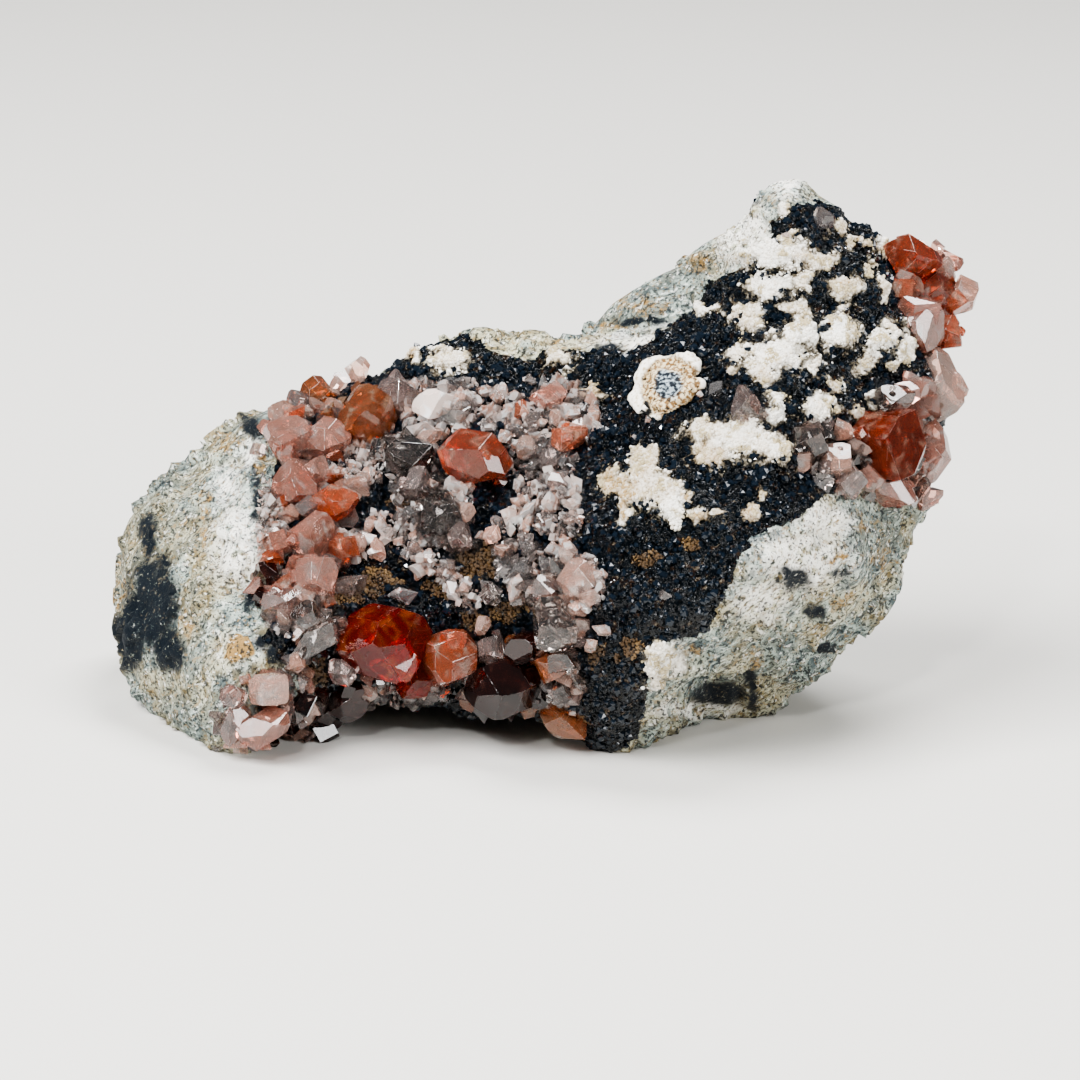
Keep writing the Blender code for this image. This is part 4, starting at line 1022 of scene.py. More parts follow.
def finish(choice: Enum, small: bool = False) -> bpy.types.Material:
    """Returns the material of a named finish, made the first time that it is asked for.

    Args:
        choice: The finish.
        small: Whether it is for small crystals, in which a faint absorption wouldn't show.

    Returns:
        The material.
    """
    look = choice.value
    if small:
        density = look.density if look.density > FAINT_DENSITY else 0.0
        look = replace(look, name=look.name + "_small", density=density, lined=0.0)
    if look.name not in _made:
        _made[look.name] = look.make()
    return _made[look.name]


@dataclass(frozen=True)
class CrystalGroup:
    """A cluster of crystals that stands for one CAD node, and small ones that fill the gaps between them.

    The filling's patches are outlines in the front view. Its numbers are the smallest and largest width.
    """

    node: str
    slot: str
    seed: int
    crystals: tuple[Crystal, ...]
    lift: float = 0.75
    patches: tuple[tuple[Row, ...], ...] = ()
    filling: tuple[float, float] = (0.9, 2.0)
    tones: tuple[Tone, ...] = ()

    def build(self, ground: Ground, rock: Ground, stock: "list[Shape]") -> bpy.types.Object:
        """Builds the cluster on the rock.

        Args:
            ground: The bare solid that the named crystals are placed from.
            rock: The dressed rock.
            stock: The small crystals to copy.

        Returns:
            The cluster.
        """
        rng = random.Random(self.seed)
        made = [piece for crystal in self.crystals for piece in crystal.stand(ground, self.lift, rng)]
        if self.patches:
            made.append(self.fill(rock, stock))
        obj = joined(made, f"{self.node}_glassy")
        put_points(obj, clipped(points_of(obj)))
        return shown(obj, self.slot, self.node)

    def fill(self, rock: Ground, stock: "list[Shape]") -> bpy.types.Object:
        """Fills the patches with small crystals.

        Args:
            rock: The dressed rock.
            stock: The small crystals to copy.

        Returns:
            The filling.
        """
        rng = np.random.default_rng(self.seed)
        layer = Strewn("filling")
        small, large = self.filling
        step = 0.55 * (small + large) / 2
        for outline in self.patches:
            places = spread(outline, step, 0.5, rng)
            for place in places[in_outline(places, outline, 0.3) > 0.5]:
                surface, normal = rock.under(*place)
                wide = small + (large - small) * rng.random() ** 1.4
                axis = normal + Vector(rng.normal(0, 0.6, 3))
                size = np.array((wide, wide * rng.uniform(0.75, 1.0), wide * rng.uniform(1.1, 1.6)))
                middle = np.array(surface + normal * wide * rng.uniform(0.0, 0.35))
                tone = int(rng.integers(len(self.tones)))
                shape = stock[rng.integers(len(stock))]
                layer.drop(shape, facing(axis, rng.uniform(0, math.tau)), size, middle, rng.random(), tone)
        return layer.made(*[finish(tone, small=True) for tone in self.tones])


def rows(*table: tuple) -> tuple[Crystal, ...]:
    """Turns rows of a table into crystals."""
    return tuple(Crystal(*row) for row in table)


# Each crystal's row: across, up, long, wide, turn, toward, spin, bluntness, how far out it stands and tone.
GROUPS = (
    CrystalGroup("twin_red_crystals", "red_crystal", 11, rows(
        (-12.5, -8.2, 8.0, 6.7, 184, 12, 20, 1.1, 0.30, Tone.RED, (0.55, 0.30, 0.78, 3.0)),
        (-7.5, -9.3, 5.9, 5.2, -28, 20, 75, 1.15, 0.30, Tone.SALMON),
        (-10.2, -10.9, 4.2, 3.4, 240, 10, 15, 1.2, 0.10, Tone.RED),
    ), lift=0.0),
    CrystalGroup("single_red_crystal", "orange_crystal", 12, rows(
        (-5.3, 6.3, 6.5, 5.1, 172, 8, 50, 1.25, 0.36, Tone.BRICK),
    ), lift=0.0),
    CrystalGroup("dark_red_crystals", "dark_red_crystal", 13, rows(
        (-2.9, -12.0, 7.0, 5.0, 8, 18, 38, 1.1, 0.22, Tone.WINE),
        (-1.2, -8.7, 3.9, 2.8, 30, 15, 40, 1.2, 0.25, Tone.WINE),
        (-3.9, -8.9, 3.2, 2.6, 120, 40, 10, 1.1, 0.25, Tone.SMOKY),
        (1.0, -10.6, 3.4, 2.6, -15, 20, 80, 1.3, 0.25, Tone.AMBER),
        (0.2, -12.2, 3.4, 2.7, 60, 20, 30, 1.2, 0.05, Tone.WINE),
    ), patches=(
        ((-6.9, -8.1), (-4.0, -6.9), (0.4, -8.1), (1.6, -12.1), (-0.8, -14.1), (-5.6, -13.7)),
    ), filling=(1.0, 2.2), tones=(Tone.WINE, Tone.SMOKY, Tone.WINE, Tone.AMBER)),
    CrystalGroup("low_orange_crystal", "orange_crystal", 14, rows(
        (2.0, -14.4, 4.9, 3.3, -42, 14, 25, 1.4, 0.30, Tone.AMBER),
    ), lift=0.0),
    CrystalGroup("top_left_crystals", "orange_crystal", 15, rows(
        (-14.0, 9.9, 5.7, 5.2, 70, 35, 15, 1.1, 0.25, Tone.AMBER),
        (-17.7, 11.5, 4.0, 3.5, 100, 20, 60, 1.15, 0.25, Tone.AMBER),
        (-11.2, 11.3, 4.6, 3.9, -50, 10, 35, 1.3, 0.20, Tone.SMOKY),
        (-14.8, 13.7, 2.6, 2.1, 80, 10, 0, 1.2, 0.25, Tone.PEACH),
        (-16.1, 12.6, 2.2, 1.9, 20, 10, 45, 1.2, 0.25, Tone.PEACH),
    ), patches=(
        ((-18.8, 10.6), (-16.5, 11.9), (-12.9, 12.6), (-9.6, 12.0), (-10.0, 10.2), (-12.6, 8.2),
         (-15.4, 8.4)),
    ), filling=(1.0, 2.2), tones=(Tone.AMBER, Tone.PEACH, Tone.SMOKY)),
    CrystalGroup("left_pink_crystals", "pink_crystal", 16, rows(
        (-20.4, 8.2, 4.3, 3.9, 140, 20, 10, 1.1, 0.22, Tone.PINK),
        (-17.5, 8.2, 4.8, 4.1, 15, 15, 55, 1.15, 0.28, Tone.PINK),
        (-20.5, 10.0, 3.4, 2.4, 150, 10, 80, 1.1, 0.20, Tone.PEACH),
        (-19.6, 4.4, 4.6, 3.7, 110, 15, 30, 1.2, 0.22, Tone.PINK),
        (-16.7, 2.9, 4.9, 3.2, 8, 18, 65, 1.25, 0.30, Tone.SALMON),
        (-18.4, 0.2, 4.6, 4.0, 60, 20, 20, 1.2, 0.28, Tone.PINK),
        (-18.2, -3.0, 4.8, 3.7, -20, 25, 45, 1.15, 0.26, Tone.PINK),
        (-16.0, -0.8, 3.2, 2.6, 40, 20, 0, 1.2, 0.25, Tone.SALMON),
        (-21.8, -2.9, 3.0, 2.3, 130, 15, 15, 1.2, 0.20, Tone.WINE),
        (-22.2, -4.6, 2.4, 1.9, 200, 10, 70, 1.2, 0.20, Tone.WINE),
        (-20.9, -5.2, 3.9, 3.0, 25, 15, 35, 1.3, 0.22, Tone.SMOKY),
        (-18.7, -6.1, 3.6, 2.8, -30, 20, 5, 1.25, 0.25, Tone.CLEAR),
    ), patches=(
        ((-22.4, 9.3), (-19.4, 10.9), (-15.7, 9.7), (-15.7, 6.5), (-14.6, 3.6), (-15.3, 1.2),
         (-15.7, -1.6), (-16.1, -4.8), (-19.4, -6.9), (-22.4, -5.6), (-23.0, -3.2), (-20.6, -0.4),
         (-21.4, 3.2), (-22.4, 6.5)),
    ), filling=(1.2, 2.8), tones=(Tone.PINK, Tone.PINK, Tone.PEACH, Tone.SALMON, Tone.SMOKY)),
    CrystalGroup("clear_left_crystals", "clear_crystal", 17, rows(
        (-18.1, -8.2, 5.0, 2.5, 38, 14, 30, 1.6, 0.42, Tone.CLEAR),
        (-19.6, -9.8, 2.0, 1.7, 70, 20, 60, 1.2, 0.40, Tone.PEACH),
        (-16.6, -7.0, 2.4, 1.9, 50, 10, 10, 1.3, 0.30, Tone.CLEAR),
    ), patches=(
        ((-20.6, -10.1), (-19.4, -7.7), (-16.5, -6.5), (-15.7, -8.1), (-18.5, -10.5), (-20.2, -10.9)),
    ), filling=(0.8, 1.6), tones=(Tone.CLEAR, Tone.PEACH, Tone.SMOKY)),
    CrystalGroup("lower_left_crystals", "pink_crystal", 18, rows(
        (-21.8, -12.1, 3.9, 3.2, 20, 30, 15, 1.1, 0.48, Tone.PEACH),
        (-22.2, -15.2, 5.2, 3.5, 15, 12, 45, 1.2, 0.26, Tone.PINK),
        (-24.9, -14.9, 3.8, 1.6, 86, 8, 30, 1.7, 0.34, Tone.SMOKY),
        (-24.7, -12.6, 2.4, 1.9, 110, 15, 65, 1.2, 0.26, Tone.SMOKY),
        (-19.3, -13.6, 3.6, 2.6, 60, 18, 10, 1.2, 0.26, Tone.SMOKY),
        (-17.6, -13.9, 2.7, 2.4, 80, 20, 50, 1.1, 0.28, Tone.WINE),
        (-15.7, -12.6, 4.6, 4.0, 105, 15, 25, 1.25, 0.20, Tone.WINE),
        (-16.0, -10.7, 2.9, 2.4, 120, 10, 80, 1.2, 0.22, Tone.SMOKY),
    ), patches=(
        ((-25.8, -12.9), (-23.8, -10.9), (-20.2, -10.9), (-16.9, -12.1), (-14.1, -10.1),
         (-13.1, -12.9), (-15.7, -14.5), (-19.4, -15.7), (-22.2, -16.9), (-25.6, -16.5)),
    ), filling=(1.0, 2.3), tones=(Tone.SMOKY, Tone.PINK, Tone.WINE, Tone.PEACH)),
    CrystalGroup("clear_crystals", "clear_crystal", 19, rows(
        (1.2, -6.8, 5.0, 4.0, 115, 15, 20, 1.15, 0.42, Tone.CLEAR),
        (2.0, -9.9, 3.1, 2.3, 160, 15, 60, 1.3, 0.30, Tone.CLEAR),
        (1.6, -12.1, 2.9, 2.2, 70, 12, 35, 1.3, 0.22, Tone.CLEAR),
        (3.0, -3.2, 3.6, 3.0, 60, 25, 5, 1.2, 0.20, Tone.PEACH),
        (0.4, -4.0, 2.9, 2.2, 20, 20, 45, 1.3, 0.22, Tone.SMOKY),
        (3.9, -4.6, 2.2, 1.7, -20, 15, 70, 1.3, 0.22, Tone.PEACH),
    ), patches=(
        ((-0.4, -4.8), (1.6, -2.0), (4.4, -1.6), (4.8, -4.4), (3.4, -8.1), (3.2, -12.1), (0.8, -12.9),
         (0, -8.9)),
    ), filling=(0.9, 2.0), tones=(Tone.CLEAR, Tone.SMOKY, Tone.PEACH)),
    CrystalGroup("middle_clear_crystals", "clear_crystal", 20, rows(
        (-10.4, 6.5, 4.8, 3.6, 160, 20, 15, 1.1, 0.10, Tone.CLEAR),
        (-9.9, 4.2, 3.9, 3.0, 60, 22, 40, 1.2, 0.12, Tone.SMOKY),
        (-8.2, 1.7, 4.4, 3.3, -35, 20, 70, 1.2, 0.14, Tone.CLEAR),
        (-8.9, 3.4, 2.6, 2.2, 30, 20, 10, 1.2, 0.22, Tone.CLEAR),
        (-6.4, 0.2, 2.8, 2.1, -50, 15, 30, 1.3, 0.15, Tone.SMOKY),
        (-7.0, 2.6, 2.4, 1.9, -30, 25, 20, 1.1, 0.25, Tone.CLEAR),
        (-6.1, 2.3, 1.9, 1.5, 40, 20, 20, 1.2, 0.35, Tone.PEACH),
    ), patches=(
        ((-11.6, 7.6), (-8.9, 7.7), (-8.1, 4.8), (-5.6, 1.6), (-5.2, -0.4), (-7.7, -0.8), (-9.7, 1.6),
         (-11.3, 4)),
    ), filling=(1.0, 2.3), tones=(Tone.CLEAR, Tone.CLEAR, Tone.SMOKY)),
    CrystalGroup("upper_right_crystals", "orange_crystal", 21, rows(
        (30.0, 22.7, 5.2, 3.7, -15, 8, 20, 1.1, 0.30, Tone.BRICK),
        (31.7, 19.8, 5.6, 4.7, 100, 10, 50, 1.15, 0.28, Tone.BRICK),
        (30.8, 17.1, 4.8, 3.8, 60, 10, 5, 1.15, 0.22, Tone.PINK),
        (32.4, 21.6, 2.9, 2.2, 75, 5, 35, 1.3, 0.35, Tone.PEACH),
        (34.1, 19.7, 3.6, 2.9, 40, 5, 65, 1.3, 0.38, Tone.PEACH),
        (32.9, 16.6, 3.4, 2.7, -60, 5, 15, 1.2, 0.30, Tone.SALMON),
    ), patches=(
        ((28.2, 23.4), (31.5, 24.2), (33.9, 21.8), (33.9, 18.5), (31.9, 15.7), (29.4, 16.5),
         (28.6, 20.2)),
    ), filling=(1.6, 3.0), tones=(Tone.SALMON, Tone.PEACH, Tone.PINK)),
    CrystalGroup("middle_right_crystals", "orange_crystal", 22, rows(
        (27.9, 7.6, 7.4, 6.1, 48, 8, 12, 1.0, 0.26, Tone.BRICK),
        (32.0, 12.5, 6.7, 4.9, 94, 8, 42, 1.15, 0.30, Tone.PEACH),
        (31.1, 7.1, 5.9, 4.0, 82, 7, 66, 1.15, 0.24, Tone.PINK),
        (28.4, 11.3, 3.9, 2.7, 15, 12, 25, 1.1, 0.22, Tone.CLEAR),
        (28.3, 3.9, 5.0, 2.8, 170, 10, 55, 1.2, 0.18, Tone.PINK),
        (31.1, 3.6, 3.0, 2.2, 30, 8, 5, 1.2, 0.20, Tone.PINK),
    ), patches=(
        ((25.0, 7.3), (27.4, 10.9), (29.8, 14.0), (31.6, 14.0), (32.2, 11.3), (31.8, 7.3), (30.9, 4),
         (29, 2.8), (26.2, 4)),
    ), filling=(1.5, 2.9), tones=(Tone.PINK, Tone.PEACH, Tone.BRICK, Tone.CLEAR)),
    CrystalGroup("flat_pale_crystal", "pink_crystal", 23, rows(
        (21.6, 7.9, 4.3, 3.4, 30, 55, 20, 1.0, 0.06, Tone.CLEAR),
        (23.8, 6.4, 4.4, 3.2, -20, 50, 60, 1.0, 0.08, Tone.PEACH),
        (24.9, 4.6, 3.4, 2.6, 60, 40, 10, 1.1, 0.10, Tone.SMOKY),
    ), patches=(
        ((19.8, 8.9), (23.4, 9.5), (25.8, 8.1), (26.5, 5.6), (26.6, 3.2), (23.8, 4.0), (21.0, 6.0)),
    ), filling=(1.0, 2.2), tones=(Tone.CLEAR, Tone.PEACH, Tone.SMOKY)),
    CrystalGroup("triangular_crystal", "dark_red_crystal", 24, rows(
        (16.8, 10.5, 4.3, 2.7, 118, 20, 30, 1.6, 0.10, Tone.SMOKY),
    ), lift=0.0),
)


# ---------------------------------------------------------------------------------------------------------
# The rock


# Dents and cracks in the pale rock: across, up, half the width and height, and how deep they are.
DENTS = (
    (14.2, -12.2, 2.6, 1.3, 1.3), (17.0, -12.6, 0.35, 1.5, 1.5),
    (19.5, -5.5, 1.8, 0.9, 0.5), (22.5, -1.6, 1.4, 0.7, 0.5), (-28.5, 3.5, 0.5, 3.0, 0.7),
    (-31.5, -4.0, 1.0, 3.2, 0.6),
    (-26.0, -2.0, 0.4, 3.4, 0.5), (-23.8, 7.8, 0.9, 1.2, 0.7),
)


@dataclass(frozen=True)
class HostRock:
    """The host rock: its broken skin, and the masks that say where each coating lies."""

    cell: float = 0.27  # the remeshed skin's grid, in millimetres
    softening: int = 10
    stretch: float = 0.5  # how slowly a band changes along itself
    foot: float = 0.12  # below this height it stands on the floor and stays flat
    most_triangles: int = 190000

    def masks(self, points: np.ndarray, normals: np.ndarray) -> dict[str, np.ndarray]:
        """Works out how much of each coating covers each point.

        Args:
            points: Points on the rock, in millimetres.
            normals: The rock's normals there.

        Returns:
            A share from 0 to 1 a point for each coating.
        """
        wander = np.column_stack([
            0.45 * waves(points, 1.7, 1) + 0.22 * waves(points, 0.7, 2),
            0.45 * waves(points, 1.7, 3) + 0.22 * waves(points, 0.7, 4),
        ])
        places = VIEW.seen(points) + wander
        front = facing_front(normals)
        behind = smooth(0.30, 0.42, waves(points, 8.0, 6) + 0.35 * waves(points, 2.2, 7)) * (1 - front) * 0.9
        tint = np.zeros(len(points))
        for across, up, half_width, half_height, tan, _ in WHITE_PATCHES:
            near = in_spots(places, ((across, up, half_width, half_height),), 0.3)
            tint = np.where(near > 0.02, np.maximum(tint, near * tan), tint)
        back_tan = smooth(0.12, 0.4, waves(points, 6.0, 8) + 0.3 * waves(points, 1.8, 9)) * (1 - front) * 0.8
        back_dull = smooth(-0.1, 0.4, waves(points, 9.0, 14)) * (1 - front) * 0.8
        back_bright = smooth(0.05, 0.35, waves(points, 7.0, 10)) * (1 - front) * 0.7
        stray = np.column_stack([0.8 * waves(points, 1.1, 15), 0.8 * waves(points, 1.1, 16)])
        grown = in_spots(places + stray, WHITE_PATCHES, 0.8)
        ragged = grown + 0.60 * waves(points, 1.0, 11) + 0.50 * waves(points, 0.5, 12)
        earthy = in_spots(places, BROWN_GROUND, 0.8) + 0.60 * waves(points, 0.9, 13)
        pocket = in_spots(places, POCKETS, 0.2) * front
        rim = (in_spots(places, POCKETS, 0.8) - pocket).clip(0, 1) * front
        return {
            "crust": np.maximum(in_outline(places, CRUST_OUTLINE, 0.35) * front, behind),
            "white": smooth(0.42, 0.62, ragged) * (grown > 0.08) * front,
            "core": in_spots(places + stray, WHITE_PATCHES, 0.75) * front,
            "tint": tint * front,
            "brown": smooth(0.45, 0.65, earthy) * front,
            # Dark stains, and painted shade in the dents, cracks and crevices.
            "shade": in_spots(places, SHADE, 0.6) * front,
            "dull": np.maximum(in_spots(places, DULL, 0.8) * front, back_dull),
            "tan": np.maximum(0.55 * np.maximum(in_spots(places, TAN, 0.7) * front, back_tan), pocket),
            "bright": np.maximum(np.maximum(in_spots(places, BRIGHT, 0.7) * front, back_bright), rim),
        }

    def relief(self, points: np.ndarray, front: np.ndarray, masks: dict[str, np.ndarray]) -> np.ndarray:
        """Works out how far the rock's fine relief stands out at each point.

        Args:
            points: Points on the rock, in millimetres.
            front: How much each point faces the front.
            masks: The coatings there.

        Returns:
            Millimetres a point.
        """
        banding = self.banding(points)
        ridges = 0.3 - np.abs(waves(banding, 1.7, 20))
        faces = 0.85 * facets(points, 4.4, 35) + 0.6 * facets(points, 1.8, 36)
        faces = faces + 0.15 * facets(points, 0.8, 37)
        rough = 0.35 * waves(banding, 0.8, 27) + 0.30 * waves(points, 1.2, 22)
        broken = np.clip(faces + ridges + rough - 0.15, -1.2, 0.8)
        lumpy = 0.65 * cells(points, 1.3, 23) + 0.38 * cells(points, 0.65, 24)
        lumpy = lumpy + 0.6 * waves(points, 2.8, 28) - 0.62
        cauliflower = 0.30 * cells(points, 0.95, 25) + 0.20 * cells(points, 0.5, 26)
        crust, white = masks["crust"], masks["white"]
        height = broken * (1 - crust) + lumpy * crust
        shaken = np.column_stack([0.3 * waves(points, 1.2, 33), 0.3 * waves(points, 1.2, 34)])
        ahead = VIEW.seen(points) + shaken
        for across, up, half_width, half_height, depth in DENTS:
            height = height - depth * in_spots(ahead, ((across, up, half_width, half_height),), 0.5) * front
        pocket = in_spots(ahead, POCKETS, 0.35) * front
        height = height - 1.1 * pocket + 0.9 * (in_spots(ahead, POCKETS, 0.7) * front - pocket)
        for across, up, half_width, half_height, _, stand in WHITE_PATCHES:
            spot = in_spots(VIEW.seen(points), ((across, up, half_width, half_height),), 0.8)
            height = np.maximum(height, (spot * stand * 0.42 - 0.1) * white)
        return height + cauliflower * white * 0.8

    def banding(self, points: np.ndarray) -> np.ndarray:
        """Turns and draws out places along the rock's banding.

        Args:
            points: Points on the rock, in millimetres.

        Returns:
            Places, in millimetres, that change slowly along a band and fast across it.
        """
        turn = np.radians(84 - 40 * smooth(-34, 34, points[:, 0]))
        along = points[:, 0] * np.cos(turn) + points[:, 2] * np.sin(turn)
        across = points[:, 2] * np.cos(turn) - points[:, 0] * np.sin(turn)
        return np.column_stack([along * self.stretch, across, points[:, 1]])

    def build(self) -> bpy.types.Object:
        """Builds the rock, paints its masks and dresses it.

        Returns:
            The rock.
        """
        obj = node_copy("matrix_rock", "rough_matrix_rock")
        modified(obj, "REMESH", mode="VOXEL", voxel_size=self.cell * MM)
        modified(obj, "SMOOTH", factor=0.5, iterations=self.softening)
        points, normals = points_of(obj), normals_of(obj)
        masks = self.masks(points, normals)
        moved = points + normals * self.relief(points, facing_front(normals), masks)[:, None]
        moved[points[:, 2] < self.foot, 2] = 0
        put_points(obj, clipped(moved))
        for name, values in masks.items():
            painted(obj, name, values)
        layer = obj.data.attributes.new("banding", "FLOAT_VECTOR", "POINT")
        layer.data.foreach_set("vector", (self.banding(points) * MM).astype(np.float32).ravel())
        modified(obj, "TRIANGULATE")
        modified(obj, "DECIMATE", ratio=self.most_triangles / len(obj.data.polygons))
        put_points(obj, clipped(points_of(obj)))
        obj.data.materials.append(RockFinish().make())
        alone(obj)
        bpy.ops.object.shade_smooth()
        return shown(obj, "host_rock", "matrix_rock")


# ---------------------------------------------------------------------------------------------------------
# Grains and small crystals that are modelled once and strewn


@dataclass
class Shape:
    """One small shape's mesh, for copying: points in units of its size, triangles and their slots."""

    points: np.ndarray
    faces: np.ndarray
    slots: np.ndarray

    @staticmethod
    def taken(obj: bpy.types.Object) -> "Shape":
        """Takes the mesh of an object, which is then removed.

        Args:
            obj: The object, modelled in millimetres.

        Returns:
            Its shape.
        """
        modified(obj, "TRIANGULATE")
        mesh = obj.data
        faces = np.array([tuple(f.vertices) for f in mesh.polygons])
        slots = np.array([f.material_index for f in mesh.polygons])
        shape = Shape(points_of(obj), faces, slots)
        bpy.data.objects.remove(obj)
        return shape


def grain_shapes(count: int, uneven: float, seed: int) -> list[Shape]:
    """Models a few grains: small balls made uneven.

    Args:
        count: How many to model.
        uneven: How far a ball's points wander, as a share of its radius.
        seed: Where its unevenness comes from.

    Returns:
        The grains, one millimetre across.
    """
    shapes = []
    for index in range(count):
        bpy.ops.object.select_all(action="DESELECT")
        bpy.ops.mesh.primitive_ico_sphere_add(subdivisions=1, radius=0.5 * MM)
        obj = bpy.context.active_object
        with editing():
            bpy.ops.transform.vertex_random(offset=uneven * 0.5 * MM, seed=seed + index)
        shapes.append(Shape.taken(obj))
    return shapes


@dataclass
class Strewn:
    """A layer of small shapes, gathered one at a time and made one mesh."""

    name: str
    points: list[np.ndarray] = field(default_factory=list)
    faces: list[np.ndarray] = field(default_factory=list)
    edges: list[np.ndarray] = field(default_factory=list)
    slots: list[np.ndarray] = field(default_factory=list)
    tints: list[np.ndarray] = field(default_factory=list)
    count: int = 0

    def drop(self, shape: Shape, turned: np.ndarray, size: np.ndarray, place: np.ndarray, tint: float,
             slot: int = 0) -> None:
        """Adds one copy of a shape.

        Args:
            shape: What to copy.
            turned: How it is turned, as a rotation matrix.
            size: Its size along its own axes, in millimetres.
            place: Where its middle goes, in millimetres.
            tint: The number that its material reads.
            slot: Which of the layer's materials it has.
        """
        self.points.append((shape.points * size) @ turned.T + place)
        self.faces.append(shape.faces + self.count)
        self.edges.append(shape.slots)
        self.slots.append(np.full(len(shape.faces), slot))
        self.tints.append(np.full(len(shape.points), tint))
        self.count += len(shape.points)

    def made(self, *materials: bpy.types.Material, rounded: bool = False) -> bpy.types.Object:
        """Makes one object of all that was added.

        Args:
            materials: Its material slots.
            rounded: Whether its faces are shaded smooth.

        Returns:
            The object, at the origin.
        """
        points = clipped(np.concatenate(self.points)) * MM
        mesh = bpy.data.meshes.new(self.name)
        mesh.from_pydata(points.tolist(), [], np.concatenate(self.faces).tolist())
        mesh.polygons.foreach_set("material_index", np.concatenate(self.slots).astype(np.int32))
        obj = bpy.data.objects.new(self.name, mesh)
        bpy.context.scene.collection.objects.link(obj)
        painted(obj, "tint", np.concatenate(self.tints))
        painted(obj, "edge", np.concatenate(self.edges), "FACE")
        for material in materials:
            mesh.materials.append(material)
        if rounded:
            alone(obj)
            bpy.ops.object.shade_smooth()
        return obj


def any_turn(rng: np.random.Generator) -> np.ndarray:
    """Returns a rotation matrix turned at random."""
    q = rng.normal(size=4)
    q /= np.linalg.norm(q)
    w, x, y, z = q
    return np.array((
        (1 - 2 * (y * y + z * z), 2 * (x * y - z * w), 2 * (x * z + y * w)),
        (2 * (x * y + z * w), 1 - 2 * (x * x + z * z), 2 * (y * z - x * w)),
        (2 * (x * z - y * w), 2 * (y * z + x * w), 1 - 2 * (x * x + y * y)),
    ))


def facing(axis: Vector, spin: float) -> np.ndarray:
    """Returns a rotation matrix that points +Z along an axis and spins about it."""
    return np.array((axis.to_track_quat("Z", "Y").to_matrix() @ Matrix.Rotation(spin, 3, "Z")))


class SurfaceSampler:
    """Picks places on the rock's skin, by how much of a coating is there."""

    def __init__(self, rock: bpy.types.Object) -> None:
        """Reads the rock's faces and masks."""
        mesh = rock.data
        corners = np.array([tuple(f.vertices)[:3] for f in mesh.polygons])
        self.corners = points_of(rock)[corners]
        self.middles = self.corners.mean(axis=1)
        self.normals = np.array([f.normal[:] for f in mesh.polygons])
        self.areas = np.array([f.area for f in mesh.polygons])
        self.masks = {}
        for name in ("crust", "white", "core", "brown", "tint"):
            values = np.empty(len(mesh.vertices), np.float32)
            mesh.attributes[name].data.foreach_get("value", values)
            self.masks[name] = values[corners].mean(axis=1)

    def picked(self, weight: np.ndarray, count: int, rng: np.random.Generator) -> np.ndarray:
        """Returns the numbers of faces picked by weight and area, evenly spread."""
        total = np.cumsum(weight * self.areas)
        marks = (np.arange(count) + rng.random(count)) / count * total[-1]
        return np.searchsorted(total, marks)


@dataclass(frozen=True)
class Coating:
    """One layer of grains, its sizes in millimetres."""

    name: str
    finish: GrainFinish
    count: int
    smallest: float
    largest: float
    seed: int
    sink: float = 0.0  # how deep a grain's middle lies, as a share of its size
    rounded: bool = True

    def strewn(self, skin: SurfaceSampler, weight: np.ndarray, shapes: list[Shape]) -> bpy.types.Object:
        """Strews the grains over part of the rock.

        Args:
            skin: The rock's skin.
            weight: How much of the layer each face has.
            shapes: The grains to copy.

        Returns:
            The layer.
        """
        rng = np.random.default_rng(self.seed)
        layer = Strewn(self.name)
        for index in skin.picked(weight, self.count, rng):
            size = self.smallest + (self.largest - self.smallest) * rng.random() ** 2
            a, b, c = skin.corners[index]
            s, t = rng.random(2)
            if s + t > 1:  # past the far side of the triangle: fold it back in
                s, t = 1 - s, 1 - t
            spot = a + (b - a) * s + (c - a) * t
            spot = spot - skin.normals[index] * size * self.sink
            tint = np.clip(skin.masks["tint"][index] + rng.normal(0, 0.16), 0, 1)
            stretch = size * rng.uniform(0.75, 1.2, 3)
            layer.drop(shapes[rng.integers(len(shapes))], any_turn(rng), stretch, spot, tint)
        return shown(layer.made(self.finish.make(), rounded=self.rounded), "host_rock")


@dataclass(frozen=True)
class Coatings:
    """The granular coatings on the rock: oxide crust, chalky white coating and brown sugary ground."""

    crust: Coating = Coating(
        "oxide_crust_grains",
        GrainFinish("manganese_oxide_druse", "#030507", "#0e1822", "#2a1a0d", 0.1, spotted=(0.66, 0.72)),
        count=9000, smallest=0.22, largest=0.8, seed=41, sink=0.12, rounded=False)
    white: Coating = Coating(
        "white_coating_grains",
        GrainFinish("chalky_silica_coating", "#a58c62", "#efece4", "#b3a687", 0.7, spotted=(0.48, 0.6)),
        count=7000, smallest=0.1, largest=0.42, seed=51, sink=0.05)
    brown: Coating = Coating(
        "brown_sugary_grains",
        GrainFinish("brown_sugary_carbonate", "#150d07", "#57432d", "#79603f", 0.35, clearness=0.2,
                    spotted=(0.52, 0.6)),
        count=2200, smallest=0.14, largest=0.32, seed=61)

    def build(self, rock: bpy.types.Object) -> None:
        """Builds the three coatings.

        Args:
            rock: The rock that they lie on.
        """
        skin = SurfaceSampler(rock)
        crust, white, brown = (skin.masks[name] for name in ("crust", "white", "brown"))
        bare = (crust > 0.5) * (white < 0.35) * (brown < 0.5)
        self.crust.strewn(skin, bare.astype(float), grain_shapes(5, 0.35, 40))
        balls = grain_shapes(4, 0.25, 50)
        patchy = skin.masks["core"] + 0.7 * waves(skin.middles, 0.8, 55)
        patchy = patchy + 0.4 * waves(skin.middles, 0.35, 56)
        patchy = patchy * (skin.masks["core"] > 0.08)
        self.white.strewn(skin, smooth(0.45, 1.1, patchy), balls)
        self.brown.strewn(skin, smooth(0.4, 0.6, brown) * (white < 0.3), balls)


# ---------------------------------------------------------------------------------------------------------
# The druse


